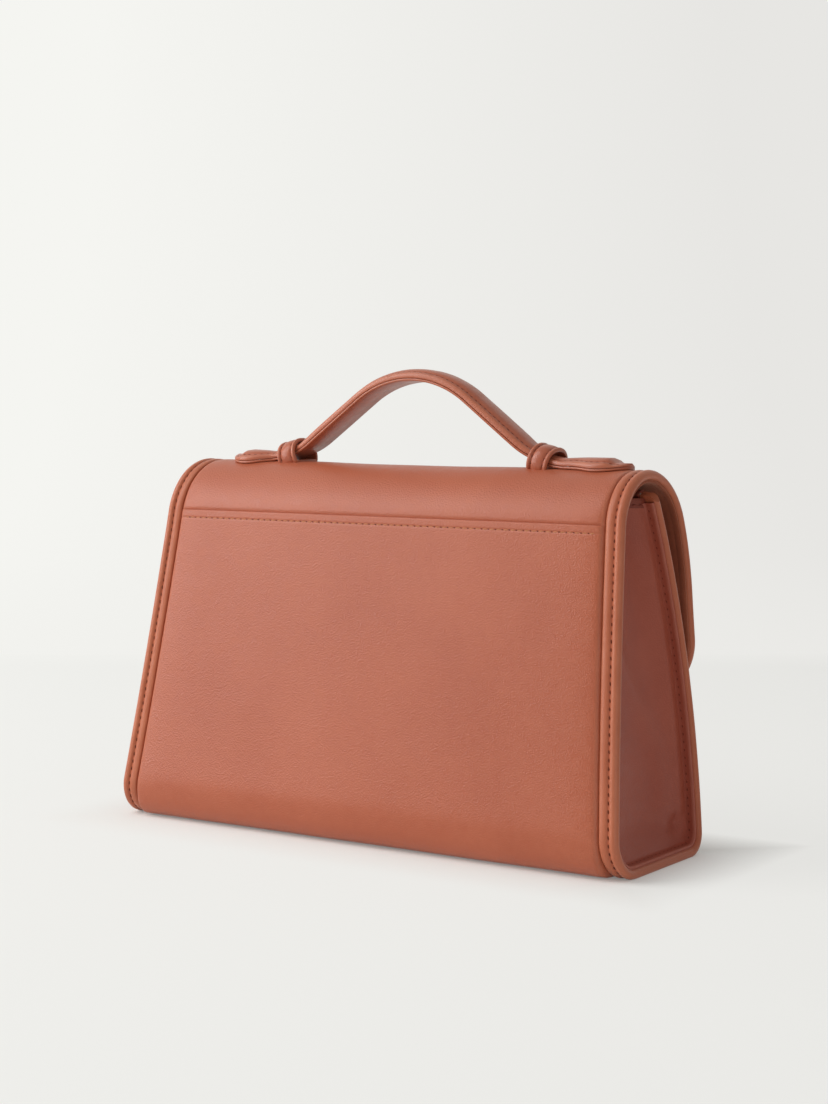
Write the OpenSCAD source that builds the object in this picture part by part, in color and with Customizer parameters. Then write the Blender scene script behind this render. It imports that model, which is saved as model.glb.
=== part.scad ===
// Top handle bag with a full flap, a slip pocket on its back, recessed side gussets
// and bound edges. X runs along the width, the flap closes over the front on -Y,
// the back is on +Y and the bag stands on its bound edges at Z zero.

/* [Body] */
// Width across the bound edges at the floor
bottom_w = 271.8; // [250:0.2:300]
// Width across the bound edges at the crest
top_w = 245.2; // [226:0.2:268]
// How far each side edge curves in at half height
side_hollow = 1; // [0:0.1:2.5]
// Depth from the back foot to the face of the closed flap
depth = 84.6; // [80:0.2:94]
// Height of the crest above the floor
crest_h = 169.4; // [160:0.2:182]
// Lean of the back towards the front, in degrees
back_lean = 10; // [8:0.5:12]
// Radius of the corner between back and base
back_corner_r = 16; // [12:0.5:20]
// Radius of the corner between front and base
front_corner_r = 11; // [8:0.5:14]
// Height at which the front panel bulges most
front_bulge_z = 38.2; // [32:0.2:46]
// How far the front panel stays behind the face of the flap
front_setback = 4.95; // [4.95:0.05:7]
// How far the mouth at the front panel lies below the crest
mouth_drop = 9.4; // [8.6:0.2:14]
// How far that mouth lies in front of the crest line
mouth_forward = 5.7; // [5:0.1:8]

/* [Edges and layers] */
// Thickness of the leather that binds an edge
skin_t = 0.9; // [0.6:0.1:1.1]
// Thickness of the leather panels
panel_t = 2; // [1.6:0.1:2.2]
// How far the padded field stands over the seam
pad_t = 0.9; // [0.5:0.1:0.9]
// Thickness of the stiffening boards
board_t = 0.9; // [0.6:0.1:1]
// Thickness of the lining
lining_t = 0.6; // [0.4:0.1:0.8]
// Thickness of the leather that lines the flap
flap_lining_t = 1.4; // [1:0.1:1.5]
// Width of the binding on the outside
binding_w = 8.1; // [7:0.1:9]
// Width of the binding on the inside
binding_inner_w = 7; // [6:0.1:7.6]
// Distance of the stitch line from the edge
stitch_in = 3.6; // [3:0.1:4]
// Width of the groove between binding and padded field
seam_groove = 0.6; // [0.4:0.1:0.9]

/* [Gussets] */
// Thickness of the gusset leather
gusset_t = 1.4; // [1:0.1:1.5]
// How far each gusset is set in from the edge
gusset_inset = 8.5; // [8:0.1:10]
// How far the edge of the gusset stays behind the rolled edge
gusset_edge = 0.8; // [0.5:0.1:1.2]
// How far the top edge of the gussets lies below the crest
gusset_drop = 12.4; // [12:0.2:18]
// Clearance between the gussets and the closed flap over them
gusset_clear = 1; // [0.6:0.1:1.5]
// Thickness of the strips that cap the mouth and the gussets
trim_t = 0.5; // [0.4:0.1:0.7]
// How far those strips reach down from the edge
trim_h = 6; // [4:0.5:8]

/* [Back pocket] */
// How far the pocket panel stands over the binding
pocket_proud = 0.3; // [0.1:0.1:0.6]
// Distance of the pocket mouth below the line where the flap bends
pocket_drop = 3; // [2:0.2:5]
// Width of the open slip pocket inside
slip_w = 160; // [120:1:180]
// Height of the slip pocket inside
slip_h = 78; // [60:1:84]
// Height of the seam at the foot of the slip pocket
slip_z = 46; // [36:1:50]

/* [Flap] */
// Radius of the back half of the crest
crest_back_r = 28.5; // [25:0.5:30]
// Turn of the crest before the front curve takes over, in degrees
shoulder_turn = 73.5; // [70:0.5:76]
// Radius of the long curve down the front of the flap
flap_front_r = 115; // [95:1:125]
// Height of the lower edge of the flap
flap_bottom_z = 66; // [60:0.5:72]
// Radius of the two lower corners of the flap
flap_corner_r = 26; // [20:0.5:28]
// Angle past the straight back at which the flap bends, in degrees
hinge_turn = 7.5; // [5:0.5:10]
// Gap between the pieces of the flap and of the body
flap_gap = 0.3; // [0.2:0.05:0.5]

/* [Handle] */
// Clear height under the handle above its resting level
grip_h = 37.8; // [34:0.1:44]
// Width of the strap
strap_w = 15.8; // [14:0.1:19]
// Thickness of the padded upper strap
strap_pad_t = 3.6; // [2.8:0.1:4.4]
// Thickness of the lower strap
strap_under_t = 1.1; // [0.8:0.1:1.3]
// Thickness of the leather around the padding of the strap
strap_skin_t = 0.8; // [0.6:0.1:1]
// Radius of the top of the handle
apex_r = 49; // [42:0.5:54]
// Steepest slope of the handle, in degrees
arm_angle = 36.5; // [34:0.5:40]
// Radius of the bend where the handle meets the top of the bag
root_r = 43.8; // [38:0.2:48]
// How far the handle sits in front of the crest line
handle_forward = 3; // [0:0.1:4]
// Lean of the handle towards the front, in degrees
handle_lean = 2; // [0:0.5:5]
// Distance between the keepers
keeper_span = 127; // [120:0.5:132]
// Width of a keeper along the strap
keeper_w = 10.5; // [9:0.1:12]
// Slope of the keepers, in degrees
keeper_slope = 14; // [0:1:16]
// Thickness of the keeper leather
keeper_t = 1.5; // [1.2:0.1:1.8]
// Room for the padded strap under the head of a keeper
keeper_room = 0.5; // [0.3:0.1:1.4]
// Clearance of the strap in the keepers and over the crest
strap_gap = 0.3; // [0.2:0.05:0.5]
// How far the strap has been pulled through towards -X
strap_shift = 4; // [0:0.5:6]
// Distance from the middle of the strap to the tip of each end
strap_reach = 107.8; // [102:0.2:112]
// Width of the leaf shaped ends
leaf_w = 22; // [20:0.2:24]

/* [Closure] */
// Diameter of the hidden magnets
magnet_d = 15; // [10:0.5:18]
// Thickness of the hidden magnets
magnet_t = 1.5; // [1.3:0.1:1.7]
// Height of the magnets above the lower edge of the flap
magnet_rise = 16; // [12:0.5:22]
// Clearance round a magnet
magnet_gap = 0.1; // [0.05:0.05:0.2]

/* [Hidden] */
leather = "#b86a4c";
dark_leather = "#8f4a38";
suede = "#9a6a55";
grey_board = "#8b8378";
steel = "#b4b6b8";
$fn = 64;

// Overrun of every cut
over = 5;
// Steps of the long curves, the corners and the short curves
long_steps = 12;
corner_steps = 8;
short_steps = 4;

// Clearance between the edges of sheets that lie in one layer
edge_gap = 0.05;

// Heights that follow the crest
front_top_z = crest_h - mouth_drop;
gusset_top_z = crest_h - gusset_drop;
magnet_z = flap_bottom_z + magnet_rise;

// Depths of the layers below the outer face of the binding. A padded field is one
// piece with its panel and reaches down to the middle of it.
pad_in = skin_t - pad_t;
pad_root = skin_t + panel_t / 2;
board_in = skin_t + panel_t;
lining_in = board_in + board_t;
slip_in = lining_in + lining_t;
rim_t = board_in + skin_t;
flange_in = rim_t + gusset_t;
flap_lining_in = max(rim_t, lining_in);
flap_in = flap_lining_in + flap_lining_t;

// Distances of the pieces from the side edge
rim_nose_r = rim_t / 2;
panel_edge = skin_t + edge_gap;
field_in = binding_w + seam_groove;
board_edge = binding_inner_w + edge_gap;
web_in = gusset_inset + gusset_t;
trim_in = web_in + trim_t + edge_gap;

// Half width of the bag at a height, and how fast it changes with height
function half_w(z) = bottom_w / 2 - (bottom_w - top_w) / 2 * z / crest_h
    - 4 * side_hollow * z / crest_h * (1 - z / crest_h);
function half_w_slope(z) = -(bottom_w - top_w) / 2 / crest_h
    - 4 * side_hollow / crest_h * (1 - 2 * z / crest_h);

// A way is a list of stations across the bag's side view, each a point and the
// direction that faces out there. Depth is measured inwards from the point.
function facing(a) = [cos(a), sin(a)];
function arc_way(c, r, a0, a1, n) =
    [for (i = [0:n]) let (a = a0 + (a1 - a0) * i / n) [c + r * facing(a), facing(a)]];
function between(s0, s1, n) = [for (i = [1:n - 1]) [s0[0] + (s1[0] - s0[0]) * i / n, s0[1]]];
function at(s, d) = s[0] - d * s[1];
function reversed(list) = [for (i = [len(list) - 1:-1:0]) list[i]];
function last(list) = list[len(list) - 1];

// Back: corner, straight lean, crest
back_corner = [depth / 2 - pocket_proud - back_corner_r, back_corner_r];
back_out = facing(back_lean);
back_up = [-sin(back_lean), cos(back_lean)];
lean_foot = back_corner + (back_corner_r - crest_back_r) * back_out;
lean_run = (crest_h - crest_back_r - lean_foot[1]) / back_up[1];
crest_c = lean_foot + lean_run * back_up;
crest_y = crest_c[0];
hinge_angle = back_lean + hinge_turn;
half_gap_turn = flap_gap / 2 / crest_back_r * 180 / PI;
hinge_point = crest_c + crest_back_r * facing(hinge_angle);

// Front: bulge up to the mouth, corner
front_y = front_setback - depth / 2;
bulge_run = crest_y - mouth_forward - front_y;
bulge_rise = front_top_z - front_bulge_z;
front_bulge_r = (bulge_rise * bulge_rise + bulge_run * bulge_run) / (2 * bulge_run);
front_c = [front_y + front_bulge_r, front_bulge_z];
front_top_angle = 180 - asin((front_top_z - front_bulge_z) / front_bulge_r);
foot_drop = front_bulge_z - front_corner_r;
foot_r = front_bulge_r - front_corner_r;
foot_angle = 180 + asin(foot_drop / foot_r);
front_corner = [front_c[0] - foot_r * cos(foot_angle - 180), front_corner_r];

front_way = concat(
    arc_way(front_c, front_bulge_r, front_top_angle, foot_angle, long_steps),
    arc_way(front_corner, front_corner_r, foot_angle, 270, corner_steps));
back_foot_way = arc_way(back_corner, back_corner_r, 270, 360 + back_lean, corner_steps);
back_top_way = arc_way(crest_c, crest_back_r, back_lean, hinge_angle - half_gap_turn, short_steps);
back_way = concat(back_foot_way,
    between(last(back_foot_way), back_top_way[0], corner_steps), back_top_way);
base_way = [last(front_way), back_way[0]];
body_way = concat(front_way, back_way);

// Flap: rest of the crest, shoulder, long front curve, straight front
shoulder_r = (depth / 2 + crest_y - flap_front_r * (1 - sin(shoulder_turn))) / sin(shoulder_turn);
shoulder_c = [crest_y, crest_h - shoulder_r];
flap_c = shoulder_c + (shoulder_r - flap_front_r) * facing(90 + shoulder_turn);
flap_curve_way = concat(
    arc_way(crest_c, crest_back_r, hinge_angle + half_gap_turn, 90, corner_steps),
    arc_way(shoulder_c, shoulder_r, 90, 90 + shoulder_turn, long_steps),
    arc_way(flap_c, flap_front_r, 90 + shoulder_turn, 180, short_steps));
flap_end = [[-depth / 2, flap_bottom_z], facing(180)];
flap_way = concat(flap_curve_way, [flap_end]);

// Rounded lower corner of the flap
corner_guess_z = flap_bottom_z + flap_corner_r;
corner_lean = atan(-half_w_slope(corner_guess_z));
corner_z = corner_guess_z + flap_corner_r * sin(corner_lean);
corner_c = [half_w(corner_z) - flap_corner_r * cos(corner_lean), corner_guess_z];

// Strap, from its resting level over the crest
strap_t = strap_pad_t + strap_under_t;
rest_z = crest_h - pad_in + strap_gap;
handle_y = crest_y - handle_forward;
arm_rise = grip_h - (apex_r + root_r) * (1 - cos(arm_angle));
arm_run = arm_rise / tan(arm_angle);
half_span = (apex_r + root_r) * sin(arm_angle) + arm_run;
keeper_in = keeper_span / 2;
keeper_x = keeper_in + keeper_w / 2;

// The strap ends where its top comes within the clearance of a sloped keeper
root_reach = (half_span - keeper_x) * cos(keeper_slope) - root_r * sin(keeper_slope)
    + keeper_w / 2 + strap_gap;
root_angle = keeper_slope + asin(root_reach / (root_r - strap_t));
keeper_rise = keeper_w / 2 * tan(keeper_slope);
keeper_head = strap_t + root_r * (1 - cos(root_angle)) + keeper_room - keeper_rise;
keeper_round = 2 * keeper_t;
leaf_root_share = 0.75;
leaf_root = keeper_in + leaf_root_share * keeper_w;
leaf_l_share = 0.6;
leaf_l = leaf_l_share * leaf_w;

// Closed band of a way between two depths, as an outline
module band_outline(way, d0, d1) {
    polygon(concat([for (s = way) at(s, d0)], reversed([for (s = way) at(s, d1)])));
}

// Turns a side view outline into a solid across the whole width
module across() {
    rotate([90, 0, 90]) linear_extrude(bottom_w + over, center = true) children();
}

// Turns a front view outline into a solid across the whole depth
module through() {
    rotate([90, 0, 0]) linear_extrude(depth + 2 * over, center = true) children();
}

// Heights at which the side edges bend
side_zs = [for (i = [0:long_steps]) -over + (crest_h + 2 * over) * i / long_steps];

// Everything further in than a distance from both side edges
module within_sides(inset) {
    through() polygon(concat([for (z = side_zs) [half_w(z) - inset, z]],
        reversed([for (z = side_zs) [inset - half_w(z), z]])));
}

// A slice along one side edge, between two distances from it
module side_slice(side, a0, a1) {
    through() polygon(concat([for (z = side_zs) [side * (half_w(z) - a0), z]],
        reversed([for (z = side_zs) [side * (half_w(z) - a1), z]])));
}

// Panel that follows a way between two depths, with its sides set in
module panel(way, d0, d1, inset) {
    intersection() {
        across() band_outline(way, d0, d1);
        within_sides(inset);
    }
}

// Skin through rings that all have the same number of points. A strip section runs
// out along one face and back along the other, and its ends are closed by a strip.
module sweep(rings, strip = false) {
    n = len(rings[0]);
    m = len(rings);
    sides = [for (i = [0:m - 2], j = [0:n - 1])
        let (k = (j + 1) % n)
        each [[i * n + j, i * n + k, (i + 1) * n + k],
            [i * n + j, (i + 1) * n + k, (i + 1) * n + j]]];
    cap = strip
        ? [for (j = [0:n / 2 - 2]) each [[j, j + 1, n - 1 - j], [j + 1, n - 2 - j, n - 1 - j]]]
        : [[for (j = [0:n - 1]) j]];
    first_cap = [for (f = cap) reversed(f)];
    last_cap = [for (f = cap) [for (j = f) j + (m - 1) * n]];
    polyhedron([for (r = rings) each r], concat(first_cap, last_cap, sides));
}

// Section of the binding: distance from the edge, depth. Its lip is crowned, with
// a groove for the stitches, its edge is rolled and it folds round onto the inside.
stitch_groove = skin_t / 4;
lip_round = skin_t / 2;
nose_steps = 6;
rim_section = concat(
    [[binding_w, skin_t], [binding_w, lip_round], [binding_w - lip_round, 0],
        [stitch_in + lip_round, 0], [stitch_in, stitch_groove], [stitch_in - lip_round, 0]],
    [for (i = [0:nose_steps]) let (a = 180 * i / nose_steps)
        [rim_nose_r - rim_nose_r * sin(a), rim_nose_r - rim_nose_r * cos(a)]],
    [[binding_inner_w, rim_t], [binding_inner_w, board_in],
        [skin_t, board_in], [skin_t, skin_t]]);

function rim_ring(side, s) = [for (q = rim_section)
    let (p = at(s, q[1])) [side * (half_w(p[1]) - q[0]), p[0], p[1]]];
function corner_ring(side, a) = [for (q = rim_section)
    [side * (corner_c[0] + (flap_corner_r - q[0]) * cos(a)), q[1] - depth / 2,
        corner_c[1] + (flap_corner_r - q[0]) * sin(a)]];

module body_binding(side) {
    rings = [for (s = body_way) rim_ring(side, s)];
    color(leather) sweep(side > 0 ? reversed(rings) : rings);
}

function flap_side_rings(side) =
    let (low = [[-depth / 2, corner_z + flap_gap], facing(180)],
        way = concat(flap_curve_way, between(last(flap_curve_way), low, short_steps), [low]))
    concat([for (s = way) rim_ring(side, s)],
        [for (i = [0:corner_steps])
            corner_ring(side, corner_lean - (90 + corner_lean) * i / corner_steps)]);

module flap_binding() {
    color(leather) sweep(reversed(concat(flap_side_rings(1), reversed(flap_side_rings(-1)))));
}

// Outline of the flap seen from the front, set in from its edge
module flap_outline(inset) {
    low = corner_z + flap_gap;
    edge = concat([for (z = reversed(side_zs)) if (z > low) [half_w(z) - inset, z]],
        [[half_w(low) - inset, low]],
        [for (i = [0:corner_steps])
            let (a = corner_lean - (90 + corner_lean) * i / corner_steps)
            corner_c + (flap_corner_r - inset) * facing(a)]);
    polygon(concat(edge, reversed([for (p = edge) [-p[0], p[1]]])));
}

// Layer of the flap between two depths, set in from its edge
module flap_layer(d0, d1, inset) {
    intersection() {
        across() band_outline(flap_way, d0, d1);
        through() flap_outline(inset);
    }
}

// Back edge of the gussets where the closed flap goes over them
gusset_r = crest_back_r - flap_in - gusset_clear;
gusset_crest_way = arc_way(crest_c, gusset_r, hinge_angle - half_gap_turn,
    asin((front_top_z - crest_c[1]) / gusset_r), corner_steps);

// Inside of the body and of the flap's crest below a depth
module body_fill(d) {
    across() polygon(concat([for (s = body_way) at(s, d)],
        [for (s = gusset_crest_way) at(s, d - rim_t)]));
}

// Everything between two heights
module level(z0, z1) {
    translate([-bottom_w, -depth, z0]) cube([2 * bottom_w, 2 * depth, z1 - z0]);
}

module gusset(side) {
    color(dark_leather) intersection() {
        union() {
            intersection() {
                across() band_outline(body_way, rim_t, flange_in);
                side_slice(side, gusset_edge, web_in);
            }
            intersection() {
                body_fill(rim_t);
                side_slice(side, gusset_inset, web_in);
            }
        }
        level(-over, gusset_top_z);
    }
}

// Strip that caps the top edge of a gusset on both faces
module gusset_trim(side) {
    color(leather) difference() {
        intersection() {
            level(gusset_top_z - trim_h, gusset_top_z + trim_t);
            body_fill(flange_in + edge_gap);
            side_slice(side, gusset_inset - trim_t, web_in + trim_t);
        }
        intersection() {
            level(-over, gusset_top_z);
            side_slice(side, gusset_inset, web_in);
        }
    }
}

module gusset_lining(side) {
    color(suede) intersection() {
        body_fill(slip_in + edge_gap);
        side_slice(side, web_in, web_in + lining_t);
        level(-over, gusset_top_z - trim_h);
    }
}

module back_panel() {
    color(leather) panel(back_way, skin_t, board_in, panel_edge);
}

module base_panel() {
    color(leather) panel(base_way, skin_t, board_in, panel_edge);
}

module front_panel() {
    color(leather) difference() {
        union() {
            panel(front_way, skin_t, board_in, panel_edge);
            panel(front_way, pad_in, pad_root, field_in);
        }
        body_magnet_space(magnet_gap);
    }
}

// Slip pocket on the back: its mouth lies just below the line where the flap bends
pocket_foot_z = 2 * skin_t;
pocket_mouth_z = hinge_point[1] - pocket_drop;
module pocket_panel() {
    color(leather) intersection() {
        panel(back_way, -pocket_proud, skin_t, field_in);
        level(pocket_foot_z, pocket_mouth_z);
    }
}

// Strip that caps the mouth of the front panel, over panel, board and lining
front_top = front_way[0];
front_up = [front_top[1][1], -front_top[1][0]];
mouth_rise = [front_top[0] + trim_t * front_up, front_top[1]];
mouth_fall = [front_top[0] - trim_h * front_up, front_top[1]];
module mouth_trim() {
    color(leather) difference() {
        panel([mouth_rise, mouth_fall], pad_in - trim_t, slip_in + trim_t, trim_in);
        panel([front_top, front_way[1], front_way[2]], pad_in - edge_gap, slip_in + edge_gap, 0);
    }
}

module back_board() {
    way = concat([last(back_foot_way)],
        between(last(back_foot_way), back_top_way[0], corner_steps), back_top_way);
    color(grey_board) panel(way, board_in, lining_in, board_edge);
}

module base_board() {
    color(grey_board) panel(base_way, board_in, lining_in, board_edge);
}

module front_board() {
    way = [for (i = [0:long_steps]) front_way[i]];
    color(grey_board) difference() {
        panel(way, board_in, lining_in, board_edge);
        body_magnet_space(magnet_gap);
    }
}

module back_lining() {
    color(suede) panel(back_way, lining_in, slip_in, web_in);
}

module base_lining() {
    color(suede) panel(base_way, lining_in, slip_in, web_in);
}

module front_lining() {
    color(suede) panel(front_way, lining_in, slip_in, web_in);
}

module slip_pocket() {
    color(suede) intersection() {
        across() band_outline(back_way, slip_in, slip_in + lining_t);
        translate([-slip_w / 2, -depth, slip_z]) cube([slip_w, 2 * depth, slip_h]);
    }
}

// Magnet in the front panel: it fills the board and a recess in the leather
magnet_angle = 180 - asin((magnet_z - front_bulge_z) / front_bulge_r);
magnet_foot = front_c + (front_bulge_r - lining_in) * facing(magnet_angle);
module body_magnet_space(gap) {
    translate([0, magnet_foot[0], magnet_foot[1]]) rotate([magnet_angle - 90, 0, 0])
        translate([0, 0, gap > 0 ? -over : magnet_gap])
        cylinder(d = magnet_d + 2 * gap, h = gap > 0 ? over + magnet_t : magnet_t - 2 * magnet_gap);
}

module body_magnet() {
    color(steel) body_magnet_space(0);
}

module flap_panel() {
    color(leather) union() {
        flap_layer(skin_t, board_in, panel_edge);
        flap_layer(pad_in, pad_root, field_in);
    }
}

// Magnet in the flap: it fills the board and a recess in the lining leather
module flap_magnet_space(gap) {
    translate([0, board_in - depth / 2 + (gap > 0 ? -over : magnet_gap), magnet_z])
        rotate([-90, 0, 0])
        cylinder(d = magnet_d + 2 * gap, h = gap > 0 ? over + magnet_t : magnet_t - 2 * magnet_gap);
}

module flap_board() {
    color(grey_board) difference() {
        flap_layer(board_in, lining_in, board_edge);
        flap_magnet_space(magnet_gap);
    }
}

module flap_lining() {
    color(suede) difference() {
        flap_layer(flap_lining_in, flap_in, gusset_edge);
        flap_magnet_space(magnet_gap);
    }
}

module flap_magnet() {
    color(steel) flap_magnet_space(0);
}

// Rounded rectangle between two heights, standing on its flat foot
module arch_outline(half, foot, head, r) {
    polygon(concat([[half, foot]],
        [for (i = [0:corner_steps]) [half - r, head - r] + r * facing(90 * i / corner_steps)],
        [for (i = [0:corner_steps]) [r - half, head - r] + r * facing(90 + 90 * i / corner_steps)],
        [[-half, foot]]));
}

// Loop of leather over the strap, sewn down on the crest of the flap
module keeper(side) {
    half = strap_w / 2 + strap_gap;
    color(leather) difference() {
        translate([side * keeper_x, handle_y, rest_z])
            rotate([0, side * keeper_slope, 0]) rotate([90, 0, 90])
            linear_extrude(keeper_w, center = true) difference() {
                arch_outline(half + keeper_t, -keeper_head, keeper_head + keeper_t, keeper_round);
                arch_outline(half, -keeper_head - over, keeper_head, keeper_t);
            }
        across() polygon([for (s = flap_curve_way) at(s, pad_in)]);
    }
}

// Underside of the handle between the keepers, seen from the back
root_z = rest_z + root_r;
arm_x = half_span - root_r * sin(arm_angle);
apex_c = [0, rest_z + grip_h - apex_r];
function root_way(side, a0, a1, n) = [for (i = [0:n]) let (a = a0 + (a1 - a0) * i / n)
    [[side * (half_span - root_r * sin(a)), root_z - root_r * cos(a)], [side * sin(a), cos(a)]]];
arm_way = root_way(1, root_angle, arm_angle, short_steps);
far_arm_way = root_way(-1, arm_angle, root_angle, short_steps);
apex_way = arc_way(apex_c, apex_r, 90 - arm_angle, 90 + arm_angle, 2 * long_steps);
handle_way = concat(arm_way, apex_way, far_arm_way);

// Section of the strap: across, height over its underside. The top is crowned.
crown_steps = 10;
side_share = 0.35;
top_share = 0.6;
function crown(half, rise) = [for (i = [0:crown_steps]) let (a = 180 * i / crown_steps)
    [half * sign(cos(a)) * abs(cos(a)) ^ side_share, strap_under_t + rise * sin(a) ^ top_share]];
outer_crown = crown(strap_w / 2, strap_pad_t);
inner_crown = crown(strap_w / 2 - strap_skin_t, strap_pad_t - strap_skin_t);
under_section = [[strap_w / 2, 0], [strap_w / 2, strap_under_t],
    [-strap_w / 2, strap_under_t], [-strap_w / 2, 0]];

// A point of the handle: its plane leans towards the front about its resting level
function leaned(x, y, z) = let (h = z - rest_z)
    [x, handle_y + y * cos(handle_lean) - h * sin(handle_lean),
        rest_z + y * sin(handle_lean) + h * cos(handle_lean)];

module along_handle(section, strip = false) {
    sweep([for (s = handle_way) [for (q = section)
        let (p = at(s, -q[1])) leaned(p[0], q[0], p[1])]], strip);
}

module handle_strap() {
    color(leather) along_handle(concat(outer_crown, reversed(inner_crown)), true);
}

module handle_padding() {
    color(grey_board) along_handle(inner_crown);
}

module handle_under_strap() {
    color(leather) along_handle(under_section);
}

// Half width of the leaf shaped end at a distance from its tip
tip_share = 0.42;
function ease(t) = let (c = min(1, max(0, t))) c * c * (3 - 2 * c);
function leaf_half(u) = u < leaf_l
    ? leaf_w / 2 * (1 - ((leaf_l - u) / leaf_l) ^ 2) ^ tip_share
    : leaf_w / 2 - (leaf_w - strap_w) / 2 * ease((u - leaf_l) / leaf_l);

// Stations of a leaf from its root to its tip, closer together near the tip: place,
// half width and rise of the padded leather
leaf_steps = 16;
leaf_edge = strap_under_t / 4;
function leaf_stations(tip) = let (run = tip - leaf_root)
    [for (i = [leaf_steps:-1:0]) let (u = run * (i / leaf_steps) ^ 2)
        [tip - u, max(leaf_half(u), leaf_edge),
            max(strap_pad_t * min(1, u / leaf_l) ^ tip_share, leaf_edge)]];

// A point of a leaf, at a distance across and a height over its underside. The
// leaves drape over the curve of the crest.
drape_r = shoulder_r + strap_gap;
function draped(x, y, h) = let (run = handle_y + y - crest_y)
    [x, handle_y + y, crest_h - pad_in - shoulder_r + sqrt(drape_r ^ 2 - run ^ 2) + h];

// Upper leather of a leaf, with a crowned top
module leaf_top(side, tip) {
    foot = strap_under_t + edge_gap;
    rings = [for (s = leaf_stations(tip))
        concat([for (i = [0:crown_steps]) let (a = 180 * i / crown_steps)
                draped(side * s[0], s[1] * cos(a), foot + s[2] * sin(a) ^ top_share)],
            [for (i = [crown_steps - 1:-1:1]) let (a = 180 * i / crown_steps)
                draped(side * s[0], s[1] * cos(a), foot)])];
    color(leather) sweep(side > 0 ? reversed(rings) : rings, true);
}

module leaf_under(side, tip) {
    rings = [for (s = leaf_stations(tip))
        [for (i = [0:2 * crown_steps + 1]) let (top = i <= crown_steps,
            a = 180 * (top ? i : 2 * crown_steps + 1 - i) / crown_steps)
            draped(side * s[0], s[1] * cos(a), top ? strap_under_t : 0)]];
    color(leather) sweep(side > 0 ? reversed(rings) : rings, true);
}

left_tip = strap_reach - strap_shift;
right_tip = strap_reach + strap_shift;

back_panel();
base_panel();
front_panel();
pocket_panel();
body_binding(1);  // binding_left
body_binding(-1);  // binding_right
gusset(1);  // gusset_left
gusset(-1);  // gusset_right
mouth_trim();
gusset_trim(1);  // gusset_trim_left
gusset_trim(-1);  // gusset_trim_right
back_board();
base_board();
front_board();
back_lining();
base_lining();
front_lining();
gusset_lining(1);  // gusset_lining_left
gusset_lining(-1);  // gusset_lining_right
slip_pocket();
body_magnet();
flap_panel();
flap_binding();
flap_board();
flap_lining();
flap_magnet();
keeper(1);  // keeper_left
keeper(-1);  // keeper_right
handle_strap();
handle_padding();
handle_under_strap();
leaf_top(1, left_tip);  // leaf_left
leaf_under(1, left_tip);  // leaf_under_left
leaf_top(-1, right_tip);  // leaf_right
leaf_under(-1, right_tip);  // leaf_under_right
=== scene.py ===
"""Top handle bag: leather skins, bound edges, stitches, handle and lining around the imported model."""

import math  # noqa: E402

import bmesh  # noqa: E402
import bpy  # noqa: E402
import numpy as np  # noqa: E402
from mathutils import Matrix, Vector, noise  # noqa: E402


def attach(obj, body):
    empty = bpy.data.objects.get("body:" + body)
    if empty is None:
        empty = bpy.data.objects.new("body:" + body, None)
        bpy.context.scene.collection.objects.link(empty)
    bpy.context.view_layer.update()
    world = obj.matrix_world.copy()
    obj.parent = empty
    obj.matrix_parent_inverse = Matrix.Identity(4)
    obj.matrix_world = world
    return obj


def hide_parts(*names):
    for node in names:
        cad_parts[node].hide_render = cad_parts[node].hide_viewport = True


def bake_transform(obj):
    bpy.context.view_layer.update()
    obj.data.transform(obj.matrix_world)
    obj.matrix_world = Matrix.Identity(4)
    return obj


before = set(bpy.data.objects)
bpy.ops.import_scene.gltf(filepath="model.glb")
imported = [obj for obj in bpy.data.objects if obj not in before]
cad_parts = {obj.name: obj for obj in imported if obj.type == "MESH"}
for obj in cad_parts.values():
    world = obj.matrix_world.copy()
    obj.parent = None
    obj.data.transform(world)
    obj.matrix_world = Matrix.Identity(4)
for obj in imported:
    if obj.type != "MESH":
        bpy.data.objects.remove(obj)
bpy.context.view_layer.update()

# Lengths below are millimetres; meshes are scaled to metres as they are made.
MM = 0.001

# Camera
CAMERA_AT = (-549.8, 803.1, 198.9)
CAMERA_YAW, CAMERA_PITCH = 34.1, 4.08
FOCAL_PX, IMAGE_H = 2131.0, 1104.0

camera = bpy.data.objects.new("camera", bpy.data.cameras.new("camera"))
bpy.context.scene.collection.objects.link(camera)
camera.data.sensor_width = 36.0
camera.data.lens = camera.data.sensor_width * FOCAL_PX / IMAGE_H
camera.data.clip_start, camera.data.clip_end = 0.05, 30.0
yaw, pitch = math.radians(CAMERA_YAW), math.radians(CAMERA_PITCH)
look = Vector((math.sin(yaw) * math.cos(pitch), -math.cos(yaw) * math.cos(pitch), -math.sin(pitch)))
camera.location = Vector(CAMERA_AT) * MM
camera.rotation_mode = "QUATERNION"
camera.rotation_quaternion = look.to_track_quat("-Z", "Y")
bpy.context.scene.camera = camera

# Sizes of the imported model
BOTTOM_W, TOP_W, SIDE_HOLLOW = 271.8, 245.2, 1.0
DEPTH, CREST_H = 84.6, 169.4
BACK_C, BACK_R, BACK_LEAN = (26.0, 16.0), 16.0, 10.0
CREST_C, CREST_R = (-8.716, 140.9), 28.5
SHOULDER_C, SHOULDER_R, SHOULDER_TURN = (-8.716, 139.3128), 30.0872, 73.5
FLAP_C, FLAP_R = (72.7, 115.196), 115.0
FLAP_LOW, FLAP_CORNER_R = 66.0, 26.0
FLAP_CORNER_C, CORNER_LEAN = (101.609, 92.0), 4.373
FRONT_C, FRONT_R = (297.551, 38.2), 334.901
FRONT_TOP_A, FRONT_FOOT_A = 158.673, 184.817
FRONT_CORNER_C, FRONT_CORNER_R = (-25.2063, 11.0), 11.0
HINGE_A, HALF_GAP_A = 17.5, 0.3
GUSSET_R, GUSSET_TOP = 22.3, 157.0
POCKET_MOUTH = 146.47
SLIP_IN, FLAP_IN = 4.4, 5.2
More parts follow.
